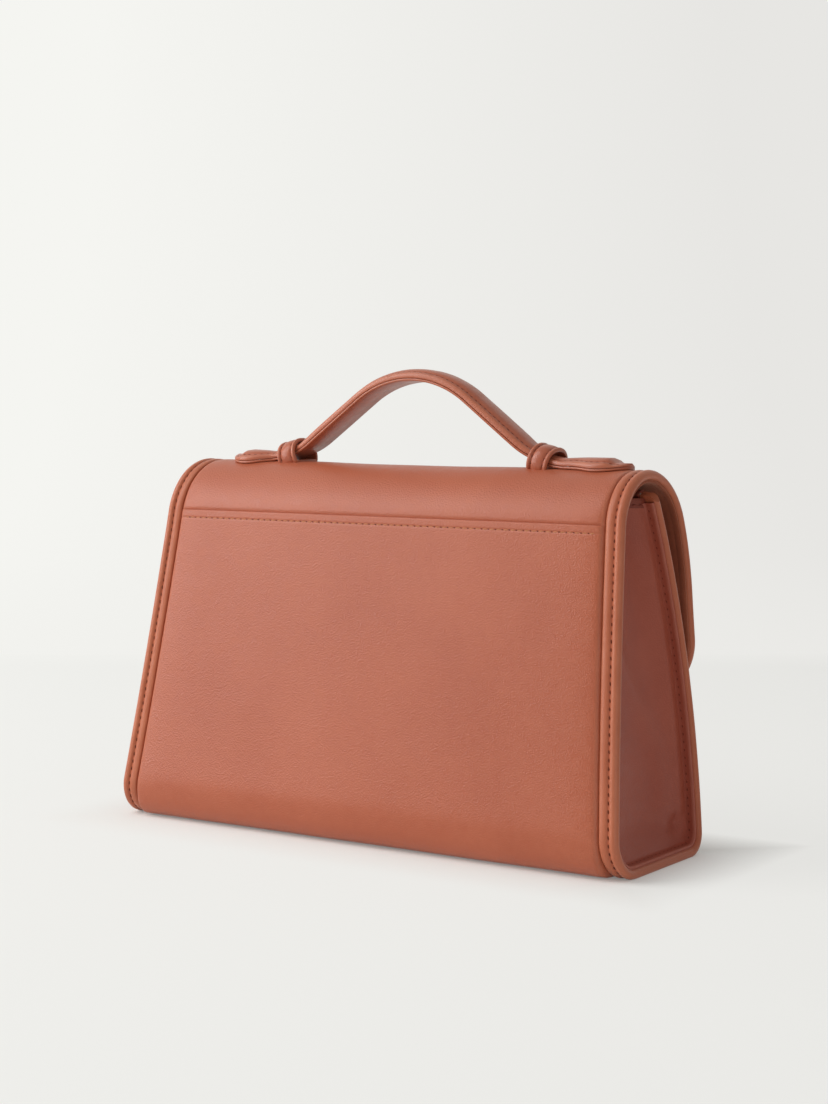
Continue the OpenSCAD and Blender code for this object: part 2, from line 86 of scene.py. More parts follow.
GUSSET_IN, GUSSET_T = 8.5, 1.4
REST_Z, HANDLE_Y, HANDLE_LEAN = 169.7, -11.716, 2.0
APEX_R, ARM_A, ROOT_R, GRIP_H, HALF_SPAN = 49.0, 36.5, 43.8, 37.8, 81.685
STRAP_HALF, LEAF_HALF = 8.4, 11.0
LEAF_TIP = {1: 102.6, -1: 111.8}
LEFT_DRIFT = 2.6
KEEPER_IN, KEEPER_W, KEEPER_SLOPE = 63.5, 10.5, 14.0
KEEPER_HALF, KEEPER_HEAD = 8.0, 8.3
STITCH_IN, STITCH_PITCH = 3.6, 3.5
SIDES = ((1, "left"), (-1, "right"))


def half_w(z):
    """Half width of the bag at a height."""
    share = z / CREST_H
    return BOTTOM_W / 2 - (BOTTOM_W - TOP_W) / 2 * share - 4 * SIDE_HOLLOW * share * (1 - share)


def smooth(t):
    """Eased step from 0 to 1."""
    t = np.clip(t, 0.0, 1.0)
    return t * t * (3 - 2 * t)


def unit(v):
    """Vectors scaled to a length of one."""
    return v / np.linalg.norm(v, axis=-1, keepdims=True)


def between(s, run, values):
    """Rows of values, which are given at the lengths in run, at other lengths."""
    return np.stack([np.interp(s, run, column) for column in np.asarray(values).T], -1)


def along_x(x, p):
    """Points at places x along the width that share one place (y, z) in the side view."""
    return np.column_stack([x, np.full_like(x, p[0]), np.full_like(x, p[1])])


def upright(v):
    """Directions (y, z) of the side view as directions in space."""
    return np.column_stack([np.zeros(len(v)), v])


def from_edge(side, inset, p):
    """Points at a distance in from the bag's side edge, over places (y, z) of the side view."""
    return np.column_stack([side * (half_w(p[:, 1]) - inset), p])


def waves(points, size, seed):
    """Smooth noise between -1 and 1 at points in mm; size is the length of one wave."""
    shift = Vector((seed * 17.3, seed * 5.1, seed * 9.7))
    flat = np.asarray(points, float).reshape(-1, 3)
    values = [noise.noise(Vector(p) / size + shift) for p in flat]
    return np.array(values).reshape(np.shape(points)[:-1])


# Paths across the side view
def arc(centre, radius, a0, a1):
    """Points and outward normals of an arc, about 0.4 mm apart; a negative turn runs clockwise."""
    steps = max(8, int(abs(a1 - a0) * math.pi / 180 * radius / 0.4))
    a = np.radians(np.linspace(a0, a1, steps + 1))
    n = np.stack([np.cos(a), np.sin(a)], -1)
    return np.asarray(centre) + radius * n, n


class Way:
    """A path in the side view: points (y, z), outward normals and the length along it."""

    def __init__(self, *parts):
        p = np.concatenate([q[0] for q in parts])
        n = np.concatenate([q[1] for q in parts])
        keep = np.r_[True, np.linalg.norm(np.diff(p, axis=0), axis=1) > 1e-4]
        p, n = p[keep], n[keep]
        run = np.r_[0, np.cumsum(np.linalg.norm(np.diff(p, axis=0), axis=1))]
        self.s = np.unique(np.concatenate([run, np.arange(0, run[-1], 0.5)]))
        self.p, self.n = between(self.s, run, p), between(self.s, run, n)
        self.length = self.s[-1]

    def at(self, s, depth=0.0):
        """Points (y, z) at lengths along the path and depths below it, and the normals there."""
        s = np.broadcast_to(s, np.broadcast(s, depth).shape)
        n = unit(between(s, self.s, self.n))
        return between(s, self.s, self.p) - np.asarray(depth)[..., None] * n, n

    def where(self, height, back=True):
        """Length along the path at which it passes a height, on its back or its front."""
        side = self.p[:, 0] > CREST_C[0] if back else self.p[:, 0] < CREST_C[0]
        heights, lengths = self.p[side, 1], self.s[side]
        if heights[0] > heights[-1]:
            heights, lengths = heights[::-1], lengths[::-1]
        return float(np.interp(height, heights, lengths))

    def near(self, y, z):
        """Length along the path of its point nearest to a place."""
        return float(self.s[np.argmin(np.hypot(self.p[:, 0] - y, self.p[:, 1] - z))])


BACK_ARC = arc(BACK_C, BACK_R, 270, 360 + BACK_LEAN)
HINGE_END = arc(CREST_C, CREST_R, BACK_LEAN, HINGE_A - HALF_GAP_A)
# The body's path runs from the mouth down the front, over the base and up the back to the hinge;
# the flap's runs from the base up the back, over the crest and down the front
BODY = Way(
    arc(FRONT_C, FRONT_R, FRONT_TOP_A, FRONT_FOOT_A),
    arc(FRONT_CORNER_C, FRONT_CORNER_R, FRONT_FOOT_A, 270),
    BACK_ARC, HINGE_END,
)
OVER = Way(
    BACK_ARC,
    arc(CREST_C, CREST_R, BACK_LEAN, 90),
    arc(SHOULDER_C, SHOULDER_R, 90, 90 + SHOULDER_TURN),
    arc(FLAP_C, FLAP_R, 90 + SHOULDER_TURN, 180),
    (np.array([[-DEPTH / 2, FLAP_LOW]]), np.array([[-1.0, 0.0]])),
)
HINGE_S = OVER.where(149.47)


# Mesh helpers
def grid_faces(rows, columns, close_rows=False, close_columns=False, start=0):
    """Quads of a grid of points."""
    faces = []
    for i in range(rows if close_rows else rows - 1):
        for j in range(columns if close_columns else columns - 1):
            a, b = i, (i + 1) % rows
            c, d = j, (j + 1) % columns
            ring = (a * columns + c, a * columns + d, b * columns + d, b * columns + c)
            faces.append(tuple(start + k for k in ring))
    return faces


class Sheet:
    """Patches of one surface, each point with a step to its inner face and an amount of wear."""

    def __init__(self):
        self.points, self.steps, self.wear, self.faces = [], [], [], []

    def patch(self, points, step, wear):
        """Adds a grid of points, with a step and wear of the same shape."""
        rows, columns = points.shape[:2]
        self.faces += grid_faces(rows, columns, start=sum(len(p) for p in self.points))
        self.points.append(points.reshape(-1, 3))
        self.steps.append(np.broadcast_to(step, points.shape).reshape(-1, 3))
        self.wear.append(np.broadcast_to(wear, points.shape[:2]).reshape(-1))

    def made(self, name, material, slot):
        """Joins the patches, gives them their inner face and closes the edge."""
        points, steps = np.concatenate(self.points), np.concatenate(self.steps)
        wear = np.concatenate(self.wear)
        _, index, back = np.unique(
            np.round(points / 0.004).astype(np.int64), axis=0, return_index=True, return_inverse=True
        )
        back = back.reshape(-1)
        points, steps, wear = points[index], steps[index], wear[index]
        count, faces, edges = len(index), [], {}
        for face in self.faces:
            ring = []
            for k in face:
                if back[k] not in ring:
                    ring.append(int(back[k]))
            if len(ring) < 3:
                continue
            faces.append(tuple(ring))
            for a, b in zip(ring, ring[1:] + ring[:1]):
                edges[(a, b)] = edges.get((a, b), 0) + 1
        faces += [tuple(count + k for k in reversed(face)) for face in faces]
        faces += [(b, a, a + count, b + count) for a, b in edges if (b, a) not in edges]
        both = np.concatenate([points, points + steps])
        return mesh_piece(name, both, faces, material, np.r_[wear, wear * 0])


def one_sheet(name, material, slot, points, step, wear=0.0):
    """A piece made of a single patch."""
    sheet = Sheet()
    sheet.patch(points, step, wear)
    return sheet.made(name, material, slot)


def settled(points):
    """The top of the bag has sunk a little towards its -X end."""
    points = np.array(points, float)
    up = smooth((points[:, 2] - 136) / 28)
    points[:, 2] += up * (0.0055 * points[:, 0] - 0.05)
    return points


def mesh_piece(name, points, faces, material, wear=None, smooth_angle=38.0):
    """A mesh object in metres with outward normals, a wear attribute, a material and a slot."""
    mesh = bpy.data.meshes.new(name)
    mesh.from_pydata((settled(points) * MM).tolist(), [], faces)
    if wear is not None:
        attribute = mesh.attributes.new("wear", "FLOAT", "POINT")
        attribute.data.foreach_set("value", np.asarray(wear, np.float32))
    work = bmesh.new()
    work.from_mesh(mesh)
    bmesh.ops.recalc_face_normals(work, faces=work.faces)
    limit = math.radians(smooth_angle)
    for edge in work.edges:
        edge.smooth = len(edge.link_faces) == 2 and edge.calc_face_angle(0.0) < limit
    for face in work.faces:
        face.smooth = True
    work.to_mesh(mesh)
    work.free()
    mesh.materials.append(material)
    piece = bpy.data.objects.new(name, mesh)
    bpy.context.scene.collection.objects.link(piece)
    return piece


def tube(name, rings, material, wear, closed=False):
    """A solid swept through rings of points; its ends are capped unless it is closed."""
    rings = np.asarray(rings, float)
    count, sides = rings.shape[:2]
    faces = grid_faces(count, sides, close_rows=closed, close_columns=True)
    if not closed:
        faces.append(tuple(range(sides)))
        faces.append(tuple((count - 1) * sides + k for k in reversed(range(sides))))
    wear = np.broadcast_to(wear, (count, sides)).reshape(-1)
    return mesh_piece(name, rings.reshape(-1, 3), faces, material, wear)


def thread(name, lines, material, pitch=STITCH_PITCH, length=1.9, width=0.31, height=0.25, slant=9.0):
    """Stitches along lines of (points, up directions), as one mesh of small capsules."""
    rings, around = 5, 6
    t = np.repeat(np.linspace(-1, 1, rings), around)
    a = np.tile(np.radians(360 * np.arange(around) / around), rings)
    swell = np.sqrt(1 - (0.93 * t) ** 2)
    capsule = np.column_stack([
        t * length / 2, np.cos(a) * width * swell, np.sin(a) * height * swell - 0.28 * t * t,
    ])
    turn = math.radians(slant)
    points, faces = [], []
    for line, ups in lines:
        line, ups = np.asarray(line, float), np.asarray(ups, float)
        run = np.r_[0, np.cumsum(np.linalg.norm(np.diff(line, axis=0), axis=1))]
        count = max(1, int(run[-1] / pitch))
        for k in range(count):
            s = (k + 0.5) * run[-1] / count
            centre, up = between(s, run, line), between(s, run, ups)
            ahead = between(min(s + 0.6, run[-1]), run, line)
            along = unit(ahead - between(max(s - 0.6, 0), run, line))
            up = unit(up - along * (up @ along))
            across = np.cross(up, along)
            axes = [
                along * math.cos(turn) + across * math.sin(turn),
                across * math.cos(turn) - along * math.sin(turn), up,
            ]
            start = len(points)
            points += list(centre + capsule @ np.array(axes))
            faces += grid_faces(rings, around, close_columns=True, start=start)
            faces.append(tuple(range(start, start + around)))
            faces.append(tuple(range(start + rings * around - 1, start + (rings - 1) * around - 1, -1)))
    return mesh_piece(name, points, faces, material, smooth_angle=70.0)


# Materials
def srgb(r, g, b):
    """Linear colour of an sRGB colour given from 0 to 255."""
    steps = (c / 255 / 12.92 if c <= 10 else ((c / 255 + 0.055) / 1.055) ** 2.4 for c in (r, g, b))
    return (*steps, 1.0)


class Nodes:
    """Short calls for building one material's nodes."""

    def __init__(self, name):
        self.material = bpy.data.materials.new(name)
        self.material.use_nodes = True
        self.tree = self.material.node_tree
        self.shader = self.tree.nodes["Principled BSDF"]
        self.place = self.add("ShaderNodeTexCoord").outputs["Object"]

    def add(self, kind, **inputs):
        """Adds a node of a kind with some of its inputs filled."""
        node = self.tree.nodes.new(kind)
        self.fill(node, inputs)
        return node

    def fill(self, node, inputs):
        """Sets or links inputs by name, with _ for a space."""
        for key, value in inputs.items():
            self.put(node.inputs[key.replace("_", " ")], value)

    def finished(self, **inputs):
        """Fills the surface's own inputs and gives the material."""
        self.fill(self.shader, inputs)
        return self.material

    def put(self, socket, value):
        """Links an input to another node's output, or sets its value."""
        if isinstance(value, bpy.types.NodeSocket):
            self.tree.links.new(value, socket)
        else:
            socket.default_value = value

    def noise(self, scale, detail=2.0, roughness=0.5):
        """Soft noise over the piece."""
        sizes = {"Scale": scale, "Detail": detail, "Roughness": roughness}
        return self.add("ShaderNodeTexNoise", Vector=self.place, **sizes).outputs["Fac"]

    def cells(self, scale, smoothness):
        """Distance to the middle of soft cells, for pores."""
        node = self.add("ShaderNodeTexVoronoi", Vector=self.place, Scale=scale)
        node.feature = "SMOOTH_F1"
        node.inputs["Smoothness"].default_value = smoothness
        return node.outputs["Distance"]

    def math(self, operation, a, b=0.0, clamp=False):
        node = self.tree.nodes.new("ShaderNodeMath")
        node.operation, node.use_clamp = operation, clamp
        self.put(node.inputs[0], a)
        self.put(node.inputs[1], b)
        return node.outputs[0]

    def span(self, value, low, high, to_low=0.0, to_high=1.0):
        """A value between low and high, brought to lie between two others."""
        node = self.tree.nodes.new("ShaderNodeMapRange")
        for k, v in enumerate((value, low, high, to_low, to_high)):
            self.put(node.inputs[k], v)
        return node.outputs[0]

    def mix(self, factor, a, b):
        """A colour between two colours."""
        node = self.tree.nodes.new("ShaderNodeMix")
        node.data_type = "RGBA"
        self.put(node.inputs[0], factor)
        self.put(node.inputs[6], a)
        self.put(node.inputs[7], b)
        return node.outputs[2]

    def attribute(self, name):
        node = self.tree.nodes.new("ShaderNodeAttribute")
        node.attribute_name = name
        return node.outputs["Fac"]

    def bump(self, height, strength, distance, below=None):
        """Normals of a relief, laid over those of another one below it."""
        node = self.add("ShaderNodeBump", Height=height, Strength=strength, Distance=distance)
        if below is not None:
            self.put(node.inputs["Normal"], below)
        return node.outputs["Normal"]


def leather(name, base, deep, worn, rough=0.42, grain=1.0, specular=0.5, sheen=0.1):
    """Smooth grained calf: tone changes over the hide, creased fine grain, paler worn edges."""
    n = Nodes(name)
    broad = n.noise(14.0, 3.0)
    fine = n.noise(260.0, 3.0, 0.6)
    pores = n.cells(1400.0, 0.35)
    tone = n.mix(n.span(broad, 0.3, 0.7), deep, base)
    tone = n.mix(n.span(fine, 0.35, 0.75, 0.0, 0.10), tone, worn)
    patchy = n.span(n.noise(90.0, 2.0), 0.3, 0.65, 0.45, 1.0)
    tone = n.mix(n.math("MULTIPLY", n.attribute("wear"), patchy, clamp=True), tone, worn)
    creases = n.bump(n.noise(1100.0, 3.0, 0.62), 0.12 * grain, 0.00020)
    pebble = n.bump(pores, 0.46 * grain, 0.00021, creases)
    return n.finished(
        Base_Color=n.mix(n.span(pores, 0.0, 0.25, 0.10, 0.0), tone, deep),
        Roughness=n.span(fine, 0.3, 0.7, rough - 0.05, rough + 0.07),
        Normal=n.bump(n.noise(55.0, 1.0), 0.12, 0.0009, pebble),
        Specular_IOR_Level=specular, Sheen_Weight=sheen, Sheen_Roughness=0.45, Sheen_Tint=srgb(236, 190, 170),
    )


def suede(name, base, deep):
    """Napped lining: mottled nap, dull, with a soft sheen."""
    n = Nodes(name)
    nap = n.noise(700.0, 4.0, 0.7)
    brushed = n.noise(38.0, 3.0)
    tone = n.mix(n.span(brushed, 0.35, 0.65), deep, base)
    return n.finished(
        Base_Color=n.mix(n.span(nap, 0.35, 0.7, 0.0, 0.35), tone, deep),
        Roughness=n.span(nap, 0.3, 0.7, 0.86, 0.96), Normal=n.bump(nap, 0.5, 0.0005),
        Specular_IOR_Level=0.15, Sheen_Weight=0.5, Sheen_Tint=srgb(214, 170, 148),
    )


def twisted(name, base, deep):
    """Stitching thread: a waxed twist."""
    n = Nodes(name)
    twist = n.add("ShaderNodeTexWave", Vector=n.place, Scale=900.0, Distortion=2.0).outputs["Fac"]
    return n.finished(
        Base_Color=n.mix(twist, deep, base), Normal=n.bump(twist, 0.4, 0.00012),
        Roughness=n.span(n.noise(500.0), 0.3, 0.7, 0.5, 0.65), Specular_IOR_Level=0.15,
    )


def pressed_board(name, base, deep):
    """Stiffening board: pressed fibres and flecks."""
    n = Nodes(name)
    fibres = n.noise(320.0, 5.0, 0.75)
    return n.finished(
        Base_Color=n.mix(n.span(fibres, 0.35, 0.65), deep, base),
        Normal=n.bump(fibres, 0.4, 0.0003), Roughness=n.span(fibres, 0.3, 0.7, 0.8, 0.95),
    )


def plated(name):
    """Plated magnet disc: fine scratches and a soft variation in gloss."""
    n = Nodes(name)
    scratches = n.noise(1500.0, 2.0)
    return n.finished(
        Base_Color=n.mix(n.span(scratches, 0.3, 0.7), srgb(150, 150, 152), srgb(190, 190, 190)),
        Roughness=n.span(scratches, 0.3, 0.7, 0.22, 0.4), Metallic=1.0,
    )


HIDE, HIDE_DEEP, HIDE_WORN = srgb(177, 91, 59), srgb(168, 82, 51), srgb(204, 128, 96)
hide = leather("hide", HIDE, HIDE_DEEP, HIDE_WORN, grain=1.2)
edge_hide = leather(
    "edge_hide", srgb(179, 97, 65), srgb(166, 84, 54), HIDE_WORN, rough=0.40, grain=0.6, specular=0.35
)
strap_hide = leather("strap_hide", srgb(172, 88, 59), srgb(156, 76, 49), HIDE_WORN, rough=0.36, grain=0.4)
# Darker than the hide as painted shade: the recessed gussets face away from the lamps.
gusset_hide_painted_shade = leather(
    "gusset_hide_painted_shade", srgb(162, 80, 60), srgb(146, 66, 48), srgb(182, 106, 86),
    grain=0.7, specular=0.3, sheen=0.05,
)
# Much darker than the hide as painted shade: the trims at the mouth and the tops of the gussets lie in shade
# under the flap.
trim_hide_painted_shade = leather(
    "trim_hide_painted_shade", srgb(128, 58, 42), srgb(112, 48, 34), srgb(152, 82, 64), rough=0.45, specular=0.25, sheen=0.0
)
nap_lining = suede("nap_lining", srgb(158, 88, 64), srgb(138, 72, 50))
# This thread is darker partly as its own darker brown and partly as painted shade of the holes it sinks into.
dark_thread_and_hole_shade = twisted("dark_thread_and_hole_shade", srgb(116, 52, 34), srgb(84, 36, 24))
gusset_thread = twisted("gusset_thread", srgb(130, 60, 45), srgb(112, 50, 37))
strap_sewing = twisted("strap_sewing", srgb(138, 67, 45), srgb(110, 50, 34))
tan_thread = twisted("tan_thread", srgb(206, 140, 100), srgb(176, 110, 74))
board = pressed_board("pressed_board", srgb(150, 138, 122), srgb(120, 110, 98))
plate = plated("plated_disc")

# Large panels
# Edge of a padded field: distance from the side edge, depth. It starts below the lip of the binding.
FIELD_EDGE = np.array(
    [(7.4, 1.9), (8.0, 1.75), (8.3, 1.3), (8.55, 0.85), (8.85, 0.46), (9.25, 0.18), (9.8, 0.02),
     (10.6, -0.06), (11.8, -0.1), (13.2, -0.12), (15.0, -0.12), (17.2, -0.12), (19.8, -0.12),
     (22.8, -0.11), (26.0, -0.1)]
)
EDGE_IN = FIELD_EDGE[-1, 0]
FIELD_STEP = 2.6
SKIN_T = 1.1


def field_columns(half, edge=FIELD_EDGE):
    """Places across a field of a half width, with the distance of each from the side edge."""
    inner = half - EDGE_IN
    middle = np.linspace(-1, 1, int(2 * (BOTTOM_W / 2 - EDGE_IN) / FIELD_STEP) + 1)[1:-1]
    x = np.concatenate([-(half - edge[:, 0]), inner * middle, (half - edge[:, 0])[::-1]])
    inset = np.concatenate([edge[:, 0], half - np.abs(inner * middle), edge[::-1, 0]])
    depth = np.concatenate([edge[:, 1], np.full(len(middle), edge[-1, 1]), edge[::-1, 1]])
    return x, inset, depth


def seam_wear(inset):
    """Wear of a padded field, along the roll beside its seam."""
    return np.where((inset > 8.4) & (inset < 10.5), 0.22, 0.0)


def off_seam(inset):
    """From 0 at the seam of a padded field to 1 on the field itself."""
    return smooth((inset - 8.2) / 2.2)


def field_grid(way, lengths, shape):
    """Grid of a field along a path. shape(s, x, inset, depth) gives the final depth of each point."""
    rows, steps, wears = [], [], []
    for s in lengths:
        x, inset, depth = field_columns(half_w(way.at(s)[0][1]))
        depth = shape(s, x, inset, depth)
        p, n = way.at(s, depth)
        rows.append(from_edge(np.sign(x), inset, p))
        steps.append(upright(-n * SKIN_T))
        wears.append(seam_wear(inset))
    return np.array(rows), np.array(steps), np.array(wears)


def swell(inset, x, z):
    """How far a padded field rises over its seam: quickly at its edge, then slowly to the middle."""
    near = 1.1 * (1 - np.exp(-np.maximum(inset - 8.7, 0) / 6.5))
    wide = 0.8 * np.clip(1 - (x / half_w(z)) ** 2, 0, 1) * (inset > 8.7)
    return near + wide


def billow(points, seed, size, height):
    """Soft unevenness of a padded field."""
    return height * waves(points, size, seed) + 0.35 * height * waves(points, size / 2.7, seed + 3)


def spaced(s0, s1, step):
    """Lengths from s0 to s1, about a step apart."""
    return np.linspace(s0, s1, max(2, int(round(abs(s1 - s0) / step)) + 1))


def pocket_shape(s, x, inset, depth):
    """The back field stands proud, flattens towards the base and rolls over at the mouth."""
    p = OVER.at(s)[0]
    raised = off_seam(inset)
    turn = math.atan2(BACK_C[1] - p[1], p[0] - BACK_C[0]) if p[1] < BACK_C[1] else 0.0
    foot = (0.55 * float(smooth(turn / 0.9 - 0.6)) - 1.9 * math.sin(2 * turn) ** 2) if turn > 0 else 0.0
    line = along_x(x, p)
    body = np.minimum(depth, 1.2) + (foot - 0.4) * raised - billow(line, 2, 52.0, 0.16) * raised
    fill = swell(inset, x, p[1]) * smooth((p[1] - 1) / 22)
    below = POCKET_MOUTH - p[1]
    crease = 0.30 * math.exp(-(((below - HEM) / 0.45) ** 2))
    seam = (crease - 0.10 * float(smooth(1 - (below - HEM) / 0.6))) * raised
    fold = 1.0 - math.sqrt(max(0.0, 1 - max(0.0, 1 - below / 0.8) ** 2))
    return body - fill + seam + 0.75 * fold * raised


HEM = 3.7
pocket_s = OVER.where(POCKET_MOUTH)
lengths = np.concatenate([
    spaced(0.2, pocket_s - 10, 2.2)[:-1], spaced(pocket_s - 10, pocket_s - 1.5, 0.3)[:-1],
    spaced(pocket_s - 1.5, pocket_s, 0.1),
])
pocket_skin = one_sheet("pocket_skin", hide, "leather", *field_grid(OVER, lengths, pocket_shape))


def flap_depth(p, x, inset, depth):
    """Depth of the long outer leather: below the pocket, then up to the padded field of the flap."""
    line = along_x(x, p)
    raised = off_seam(inset)
    over_top = math.exp(-(((p[0] - CREST_C[0] + 1) / 17) ** 2)) if p[1] > CREST_C[1] else 0.0
    sag = 0.45 * over_top * (1 - smooth((np.abs(x) - 22) / 38))
    if p[0] > CREST_C[0]:
        below = 0.55 * (1 - smooth((p[1] - POCKET_MOUTH + 0.3) / 1.6))
        below += 0.7 * smooth((POCKET_MOUTH - p[1]) / 2)
        fill = swell(inset, x, p[1])
    else:
        below = 0.0
        fill = 0.8 * swell(np.minimum(inset, p[1] - FLAP_LOW), x, p[1])
    fill = fill * smooth((166 - p[1]) / 17)
    hump = billow(line, 5, 56.0, 0.14) * smooth((p[1] - POCKET_MOUTH) / 8 if p[0] > CREST_C[0] else 1.0)
    return depth + (below + sag - fill - hump) * raised


def flap_sheet(start, edge, depth_at, step, wear_at, row_step=2.0):
    """The outline of the flap as patches: one grid, two rounded corners and the lower border."""
    sheet = Sheet()
    corner_x, corner_z = FLAP_CORNER_C
    end = OVER.where(corner_z, back=False)
    if start < OVER.where(POCKET_MOUTH - 2):
        bend = [OVER.where(z) for z in (POCKET_MOUTH - 2, 156.0)]
        lengths = np.concatenate([
            spaced(start, bend[0], 2.4)[:-1], spaced(bend[0], bend[1], 0.6)[:-1],
            spaced(bend[1], end, row_step),
        ])
    else:
        lengths = spaced(start, end, row_step * 0.7)
    rows, steps, wears = [], [], []
    for s in lengths[:-1]:
        p0 = OVER.at(s)[0]
        x, inset, depth = field_columns(half_w(p0[1]), edge)
        depth = depth_at(p0, x, inset, depth)
        p, n = OVER.at(s, depth)
        rows.append(from_edge(np.sign(x), inset, p))
        steps.append(upright(n * step))
        wears.append(wear_at(inset))

    def flat(x, z, inset, depth):
        """One row of the flat front: its points, steps and wear."""
        face = depth_at(np.array([-DEPTH / 2, corner_z]), x, inset, depth)
        normal = np.tile([-1.0, 0.0], (len(x), 1))
        return np.column_stack([x, face - DEPTH / 2, z]), upright(normal * step), wear_at(inset)

    insets, depths = edge[:, 0], edge[:, 1]
    reach = FLAP_CORNER_R - insets
    across = np.linspace(-corner_x, corner_x, len(x) - 2 * len(edge) + 2)
    inner = np.full(len(across) - 2, FLAP_CORNER_R)
    lean = math.radians(CORNER_LEAN)
    side_x, side_z = corner_x + reach * math.cos(lean), corner_z + reach * math.sin(lean)
    row = flat(
        np.concatenate([-side_x, across[1:-1], side_x[::-1]]),
        np.concatenate([side_z, inner * 0 + corner_z, side_z[::-1]]),
        np.concatenate([insets, inner, insets[::-1]]),
        np.concatenate([depths, inner * 0 + depths[-1], depths[::-1]]),
    )
    sheet.patch(*(np.array(part + [last]) for part, last in zip((rows, steps, wears), row)))
    for side in (-1, 1):
        fan = [
            flat(side * (corner_x + reach * math.cos(a)), corner_z + reach * math.sin(a), insets, depths)
            for a in np.radians(np.linspace(CORNER_LEAN, -90, 26))
        ]
        sheet.patch(*(np.array(part) for part in zip(*(fan if side < 0 else fan[::-1]))))
    low = [flat(np.full(len(insets), x), FLAP_LOW + insets, insets, depths) for x in across]
    sheet.patch(*(np.array(part) for part in zip(*low)))
    return sheet


flap_outer = flap_sheet(OVER.where(4.0), FIELD_EDGE, flap_depth, -SKIN_T, seam_wear)
flap_skin = flap_outer.made("flap_skin", hide, "leather")


def front_shape(s, x, inset, depth):
    """Front field under the flap."""
    p = BODY.at(s)[0]
    line = along_x(x, p)
    raised = off_seam(inset)
    base = 1.25 * (1 - smooth((p[1] - 1.0) / 10.0))
    fill = 0.6 * swell(inset, x, p[1]) * smooth((p[1] - 1) / 22) * smooth((160 - p[1]) / 10)
    return np.minimum(depth, 1.2) + (base + 0.1 - fill) * raised - billow(line, 8, 50.0, 0.15) * raised


foot_s = BODY.near(-20.0, 0.0)
grid = field_grid(BODY, spaced(0.6, foot_s, 2.2), front_shape)
front_skin = one_sheet("front_skin", hide, "leather", *grid)

base_way = Way(
    (np.array([[-20.5, 0.0], [26.5, 0.0]]), np.array([[0.0, -1.0], [0.0, -1.0]])),
)
grid = field_grid(base_way, spaced(0, base_way.length, 2.6), lambda s, x, inset, depth: np.full_like(x, 1.5))
base_skin = one_sheet("base_skin", hide, "leather", *grid)

# Bound edges
# Section of the binding: distance from the edge, depth, wear. Two crowned lanes with a stitched
# groove between them, a rolled edge, and the fold onto the inside.
RIM = np.array(
    [(8.1, 1.7, 0), (8.12, 0.95, 0), (7.98, 0.5, 0.1), (7.6, 0.14, 0.3), (7.0, -0.1, 0.35),
     (6.2, -0.24, 0.2), (5.4, -0.24, 0.15), (4.75, -0.1, 0.2), (4.3, 0.1, 0.15), (3.95, 0.38, 0),
     (3.6, 0.56, 0), (3.25, 0.38, 0), (2.95, 0.06, 0.15), (2.5, -0.2, 0.3), (1.8, -0.38, 0.35),
     (1.05, -0.3, 0.3), (0.35, 0.06, 0.35), (-0.2, 0.6, 0.3), (-0.5, 1.3, 0.1), (-0.55, 2.0, 0.05),
     (-0.4, 2.75, 0.05), (0.1, 3.35, 0.05), (0.8, 3.72, 0), (2.2, 3.8, 0), (4.6, 3.8, 0), (7.0, 3.8, 0),
     (7.0, 2.9, 0), (4.0, 2.2, 0), (7.0, 1.75, 0)]
)
GROOVE = int(np.argmin(np.abs(RIM[:, 0] - STITCH_IN) + (RIM[:, 1] > 1)))
# Point of the section, on its side, along which the run of the flap's edge is measured
SIDE_POINT = 20
PUCKER = np.exp(-(((RIM[:, 0] - STITCH_IN) / 1.1) ** 2)) * (RIM[:, 1] < 1.0)
RIM_STEP = 0.7
# The front's edge is rounded at its upper corner with this radius, over this length
TOP_CORNER_R, TOP_ROUND = 4.2, 7


def rim_ring(way, side, s, run, corner=None, low_x=None):
    """Ring of the binding at a length along a path, round a lower corner or along the lower edge."""
    depth = RIM[:, 1] + 0.09 * PUCKER * math.cos(2 * math.pi * run / STITCH_PITCH)
    depth = depth + 0.06 * noise.noise(Vector((run / 14, side * 3.0, 1.0))) * (RIM[:, 1] < 1.0)
    if corner is not None:
        reach = FLAP_CORNER_R - RIM[:, 0]
        return np.column_stack([
            side * (FLAP_CORNER_C[0] + reach * math.cos(corner)), depth - DEPTH / 2,
            FLAP_CORNER_C[1] + reach * math.sin(corner),
        ])
    if low_x is not None:
        return np.column_stack([np.full(len(RIM), low_x), depth - DEPTH / 2, FLAP_LOW + RIM[:, 0]])
    round_by = 0.0
    if way is BODY and s < TOP_ROUND:
        near = np.clip(1 - RIM[:, 0] / TOP_CORNER_R, 0, 1)
        round_by = TOP_CORNER_R * (1 - np.sqrt(1 - near**2 * 0.98)) * (1 - s / TOP_ROUND)
    p, _ = way.at(s + round_by, depth)
    ring = from_edge(side, RIM[:, 0], p)
    ring[:, 2] = np.maximum(ring[:, 2], 0.02)
    return ring


def rim_line(way, side, lengths, depth=0.36):
    """Line of the stitched groove along a path, and the directions out of it."""
    p, n = way.at(lengths, depth)
    return from_edge(side, STITCH_IN, p), upright(n)


SEAM_Z = 104.0
over_seam, body_seam = OVER.where(SEAM_Z), BODY.where(SEAM_Z)
flap_side_end = OVER.where(FLAP_CORNER_C[1] + FLAP_CORNER_R * math.sin(math.radians(CORNER_LEAN)), back=False)
binding_skins, rim_threads = {}, {}
for side, word in SIDES:
    lengths = spaced(0.0, body_seam, RIM_STEP)
    rings = [rim_ring(BODY, side, s, s) for s in lengths]
    binding_skins[word] = tube("binding_skin_" + word, rings, edge_hide, RIM[:, 2])
    lines = [rim_line(BODY, side, spaced(3.0, body_seam, 1.0))]
    rim_threads[word] = thread("binding_thread_" + word, lines, dark_thread_and_hole_shade)

